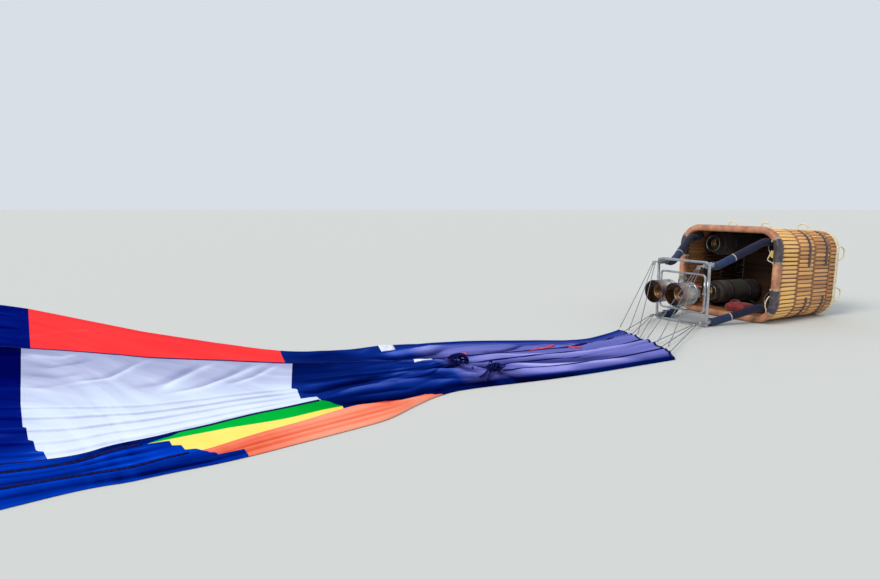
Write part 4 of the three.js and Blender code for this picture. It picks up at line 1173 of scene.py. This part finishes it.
for place, side in (("near", -1), ("far", 1)):
    on_can = facing(frame_x - 0.04, side * 0.15, frame_z, -pi / 2, "Y")
    ring(lips, on_can, 0.1315, 0.2685, 48, 0.0036, 8)
    for height in (0.03, 0.045):
        ring(lips, on_can, 0.132, height, 48, 0.0018, 6)
    turns = [Vector((coil_radius * cos(a), coil_radius * sin(a), 0.018 + coil_high * i / coil_steps))
             for i, a in ((i, tau * i / 24) for i in range(coil_steps + 1))]
    way_out = [Vector((x, 0.0, height)) for x, height in ((0.055, 0.16), (0.05, 0.05), (0.05, 0.004))]
    coil = toned()
    rod(coil, [on_can @ point for point in (Vector((coil_radius, 0, 0.004)), *turns, *way_out)], 0.0068, 8)
    lathe(coil, [(0, 0.0032), (0.07, 0.0032), (0.07, 0.008), (0.062, 0.011), (0, 0.011)], on_can, 28)
    made_piece(f"coil_{place}", coil, coil_steel, [f"burner_coil_{place}"], rig, "burner")
    ring(jets, on_can, jet_radius, 0.04, 24, 0.0062, 8)
    for low, high in zip(circle(jet_radius, 8, 0.04), circle(jet_radius, 8, 0.052)):
        rod(jets, [on_can @ low, on_can @ high], 0.0032)
    for a in (0.4, 0.4 + pi):
        x, y = jet_radius * cos(a), jet_radius * sin(a)
        rod(jets, [on_can @ Vector((x, y, height)) for height in (0.009, 0.04)], 0.004)
made_piece("can_lips", lips, hot_steel, place=rig, body="burner")
made_piece("jet_rings", jets, brass, place=rig, body="burner")
grip = cloudy("lever_grip", (176, 30, 34), 0.5, [(0.3, 150, 22, 28), (0.7, 192, 40, 42)], 50.0)
grip_profile = [(0, -0.045), (0.0135, -0.045), (0.015, -0.038), (0.0138, -0.02), (0.015, 0.0), (0.0138, 0.02),
                (0.015, 0.038), (0.0135, 0.045), (0, 0.045)]
gauge_profile = [(0, 0.0), (0.009, 0.0), (0.009, 0.016), (0.027, 0.018), (0.03, 0.024), (0.03, 0.034),
                 (0.027, 0.036), (0.025, 0.0335), (0, 0.0335)]
grips, gauges = toned(), toned()
for side in (-1, 1):
    lathe(grips, grip_profile, facing(frame_x + 0.06, side * 0.15, frame_z + 0.07, -pi / 2, "X"), 18)
    lathe(gauges, gauge_profile, facing(frame_x + 0.0262, side * 0.075, frame_z, pi / 2, "Y"), 24)
made_piece("lever_grips", grips, grip, place=rig, body="burner")
made_piece("fuel_gauges", gauges, steel, place=rig, body="burner")

# Karabiners and flying wires: a steel karabiner with a screwed gate is hooked in each lug of the frame.
# From each, three stranded steel cables run to the mouth, with a pressed ferrule at both ends.
gate_profile = [(0, -0.02), (0.0074, -0.02), (0.0082, -0.017), (0.0082, 0.015), (0.0074, 0.02), (0, 0.02)]
gates = toned()
for _, side, up in corners:
    gate = facing(frame_x - 0.0952, side * half_frame + side * 0.025, frame_z + up * half_frame, pi / 2, "Y")
    lathe(gates, gate_profile, gate, 14)
made_piece("karabiner_gates", gates, steel, place=rig)
wire = finish("wire", (146, 149, 154), 0.38, 1.0)
strands = node(wire, "TexWave", {"Vector": place_on(wire, "Object", (1, 1, 1.6), 0.9)},
               {"bands_direction": "DIAGONAL"}, {"Scale": 60.0, "Distortion": 0.4}).outputs["Fac"]
colours(wire, strands, [(0.2, 96, 98, 104), (0.7, 176, 179, 184)])
raised(wire, strands, 0.0008, 0.8)
ferrules = toned()
for name in [f"flying_wire_{place}_{i}" for place, _, _ in corners for i in (1, 2, 3)]:
    repaint(wire, name)
    points = [vert.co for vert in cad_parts[name].data.vertices]
    points.sort(key=lambda co: co.x * 0.87 + co.y * 0.49)
    mouth_end, hook_end = sum(points[:6], Vector()) / 6, sum(points[-6:], Vector()) / 6
    along = (hook_end - mouth_end).normalized()
    for end, way in ((mouth_end, along), (hook_end, -along)):
        rod(ferrules, [end + way * reach for reach in (0.022, 0.026, 0.052, 0.056)], 0.0066, 10)
made_piece("wire_ferrules", ferrules, steel, place=on_ground)

# Crown ring: plain alloy bar, bent round and welded. It lies at the top of the envelope, where the load
# tapes come together.
repaint(cloudy("alloy_ring", (196, 198, 202), 0.35, [(0.3, 168, 170, 174), (0.7, 210, 212, 216)], 22.0, 5.0,
               metallic=1.0, bumps=[(300.0, 2.0, 0.0005, 0.4)]), "crown_ring")

# Load tapes: webbing 25 mm wide sewn along the four seams that show, from the mouth to the crown, and a hem
# round the mouth. They follow the cloth and stand a little over it.
webbing = cloudy("tape_webbing", (12, 18, 70), 0.8, [(0.3, 8, 12, 58), (0.7, 26, 32, 100)], 60.0,
                 sockets={"Specular IOR Level": 0.03}, relief=(0.001, 0.5))
seam_runs = [(5, 0.02, 20.95), (6, 0.02, 2.0), (6, 3.5, 20.95), (7, 0.02, 1.8), (7, 5.05, 20.95),
             (8, 0.02, 1.5), (8, 4.65, 20.95)]
tape_step, tape_width = 0.07, 0.025


def on_cloth(s, t, lift=0.0):
    """Where the cloth lies at a distance from the mouth and a place across its whole width."""
    seams = (0.0, *rib_at(s)[5:], 1.0)
    gore = next((i for i in range(1, 6) if t <= seams[i]), 5)
    fraction = (t - seams[gore - 1]) / (seams[gore] - seams[gore - 1])
    return cloth_point(s, gore, clamp(fraction))[0] + Vector((0, 0, lift))


def band(whole, rows):
    """A closed flat band through rows of points that run round its section."""
    small = bmesh.new()
    count, around_it = len(rows) - 1, len(rows[0])
    for vert in bmesh.ops.create_grid(small, x_segments=count, y_segments=around_it, size=0.5)["verts"]:
        row, column = round((vert.co.x + 0.5) * count), round((vert.co.y + 0.5) * around_it)
        vert.co = rows[row][column % around_it]
    bmesh.ops.remove_doubles(small, verts=small.verts, dist=0.00001)
    bmesh.ops.holes_fill(small, edges=small.edges)
    bmesh.ops.recalc_face_normals(small, faces=small.faces)
    copy = bpy.data.meshes.new("band")
    small.to_mesh(copy)
    small.free()
    whole.from_mesh(copy)
    bpy.data.meshes.remove(copy)


def laid_tape(whole, line, wide, columns=2, lift=0.006):
    """A tape on the cloth along places (distance from the mouth, place across)."""
    rows = []
    for s, t in line:
        row = rib_at(s)
        reach = wide / hypot(row[3] - row[1], row[4] - row[2])
        spots = [t + reach * (k / columns - 0.5) for k in range(columns + 1)]
        rows.append([on_cloth(s, spot, lift - 0.002 * (k in (0, columns))) for k, spot in enumerate(spots)]
                    + [on_cloth(s, spot, -0.001) for spot in reversed(spots)])
    band(whole, rows)


tapes = bmesh.new()
for seam, start, end in seam_runs:
    count = round((end - start) / tape_step)
    stations = [start + (end - start) * i / count for i in range(count + 1)]
    laid_tape(tapes, [(s, rib_at(s)[seam]) for s in stations], tape_width)
load_tapes = made_piece("load_tapes", tapes, webbing, place=on_ground)
hem_section = [(0.0, 0.002), (0.015, 0.003), (0.03, 0.002), (0.03, -0.001), (0.015, -0.001), (0.0, -0.001)]
hem = bmesh.new()
band(hem, [[on_cloth(s, 0.01 + 0.98 * i / 90, lift) for s, lift in hem_section] for i in range(91)])
mouth_hem = made_piece("mouth_hem", hem, webbing, place=on_ground)

# Bundled tapes: two knots of dark tape tied where the skirt meets the throat, with short ends. They gather
# the cloth into spreading folds.
rng = random.Random(21)
bundles = toned()
for s, t, size in ((2.0, 0.68, 1.4), (1.58, 0.88, 1.1)):
    middle = on_cloth(s, t, 0.02)
    for i in range(9):
        tilt = Matrix.Rotation(rng.uniform(0, tau), 3, "Z") @ Matrix.Rotation(rng.uniform(-1.1, 1.1), 3, "X")
        shift = Vector((rng.uniform(-0.03, 0.03), rng.uniform(-0.03, 0.03), rng.uniform(-0.004, 0.016)))
        loop = [Vector((0.05 * cos(tau * k / 14), 0.03 * sin(tau * k / 14), 0.01 * sin(tau * k / 7)))
                for k in range(14)]
        loop = [middle + size * (shift + tilt @ point) for point in loop]
        rod(bundles, loop, 0.009, 6, True, flat=0.3, tone=rng.uniform(0.2, 0.8))
    for i in range(5):
        angle, reach = rng.uniform(0, tau), rng.uniform(0.1, 0.22)
        out = Vector((cos(angle), 0.5 * sin(angle), 0))
        loose_end = []
        for k in (0, 0.25, 0.5, 0.75, 1):
            place = (s - reach * k * out.x, min(0.98, t - reach * k * out.y))
            loose_end.append(on_cloth(*place, 0.012 + 0.05 * (1 - k) ** 2))
        rod(bundles, loose_end, 0.008, 6, flat=0.3, tone=rng.uniform(0.2, 0.8))
tape_bundles = made_piece("tape_bundles", bundles, webbing, place=on_ground)

# Crown ties: the ends of the load tapes, of the same webbing. They are looped round the crown ring and sewn
# back on the crown's edge.
ring_verts = [vert.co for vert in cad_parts["crown_ring"].data.vertices]
ring_middle = sum(ring_verts, Vector()) / len(ring_verts)
ring_reach = max((vert - ring_middle).xy.length for vert in ring_verts)
ring_bar = max(vert.z for vert in ring_verts) - ring_middle.z
over = ring_bar + 0.002
ties = toned()
for t in (0.38, 0.44, 0.5, 0.56, 0.62):
    start = on_cloth(20.9, t, 0.004)
    inward = (ring_middle - start).xy.to_3d().normalized()
    bar_middle = ring_middle - inward * (ring_reach - ring_bar)
    path = [start, on_cloth(20.96, t, 0.006), bar_middle - inward * 0.5 * over + Vector((0, 0, over)),
            bar_middle + inward * 0.7 * over + Vector((0, 0, 0.8 * over)), bar_middle + inward * over]
    rod(ties, smooth_line(path, 0.006), 0.009, 6, flat=0.16)
crown_ties = made_piece("crown_ties", ties, webbing, place=on_ground)

# Patch and strips: a blank white cloth patch by the far edge of the throat, a short white strip beside the
# first bundle, and red and pink tapes on the skirt. All are sewn on, and follow the cloth.
slight_gloss = {"Specular IOR Level": 0.1}
white_cloth = cloudy("patch_cloth", (232, 234, 246), 0.6, [(0.3, 196, 200, 224), (0.6, 238, 240, 250)], 24.0,
                     sockets=slight_gloss, relief=(0.002, 0.4))
red_tape = cloudy("red_tape", (206, 60, 84), 0.6, [(0.3, 170, 36, 60), (0.7, 226, 96, 124)], 30.0,
                  sockets=slight_gloss)
sewn_on = [
    # name, slot, material, the flat cut, what it is on, and its lines: first place, step, count, width, lift
    ("white_patch", "white_fabric", white_cloth, (0.26, 0.16), [throat],
     [((2.8, 0.078), (-0.02, 0.0), 9, 0.26, 12, 0.005)]),
    ("white_strip", "white_fabric", white_cloth, (0.05, 0.2), [throat],
     [((2.53, 0.47), (-0.023, 0.006), 11, 0.06, 4, 0.008)]),
    ("red_tapes", "red_fabric", red_tape, (0.03, 0.5), [skirt, throat],
     [((1.27, 0.41), (-0.016, -0.007), 14, 0.035, 2, 0.012),
      ((0.92, 0.36), (-0.02, 0.006), 8, 0.045, 2, 0.012), ((1.9, 0.42), (-0.01, 0.002), 7, 0.04, 2, 0.01)]),
]
for name, slot, material, flat, under, lines in sewn_on:
    strip = bmesh.new()
    for (s, t), (ahead, aside), count, *cut in lines:
        laid_tape(strip, [(s + ahead * i, t + aside * i) for i in range(count)], *cut)
    piece = made_piece(name, strip, material, place=on_ground)
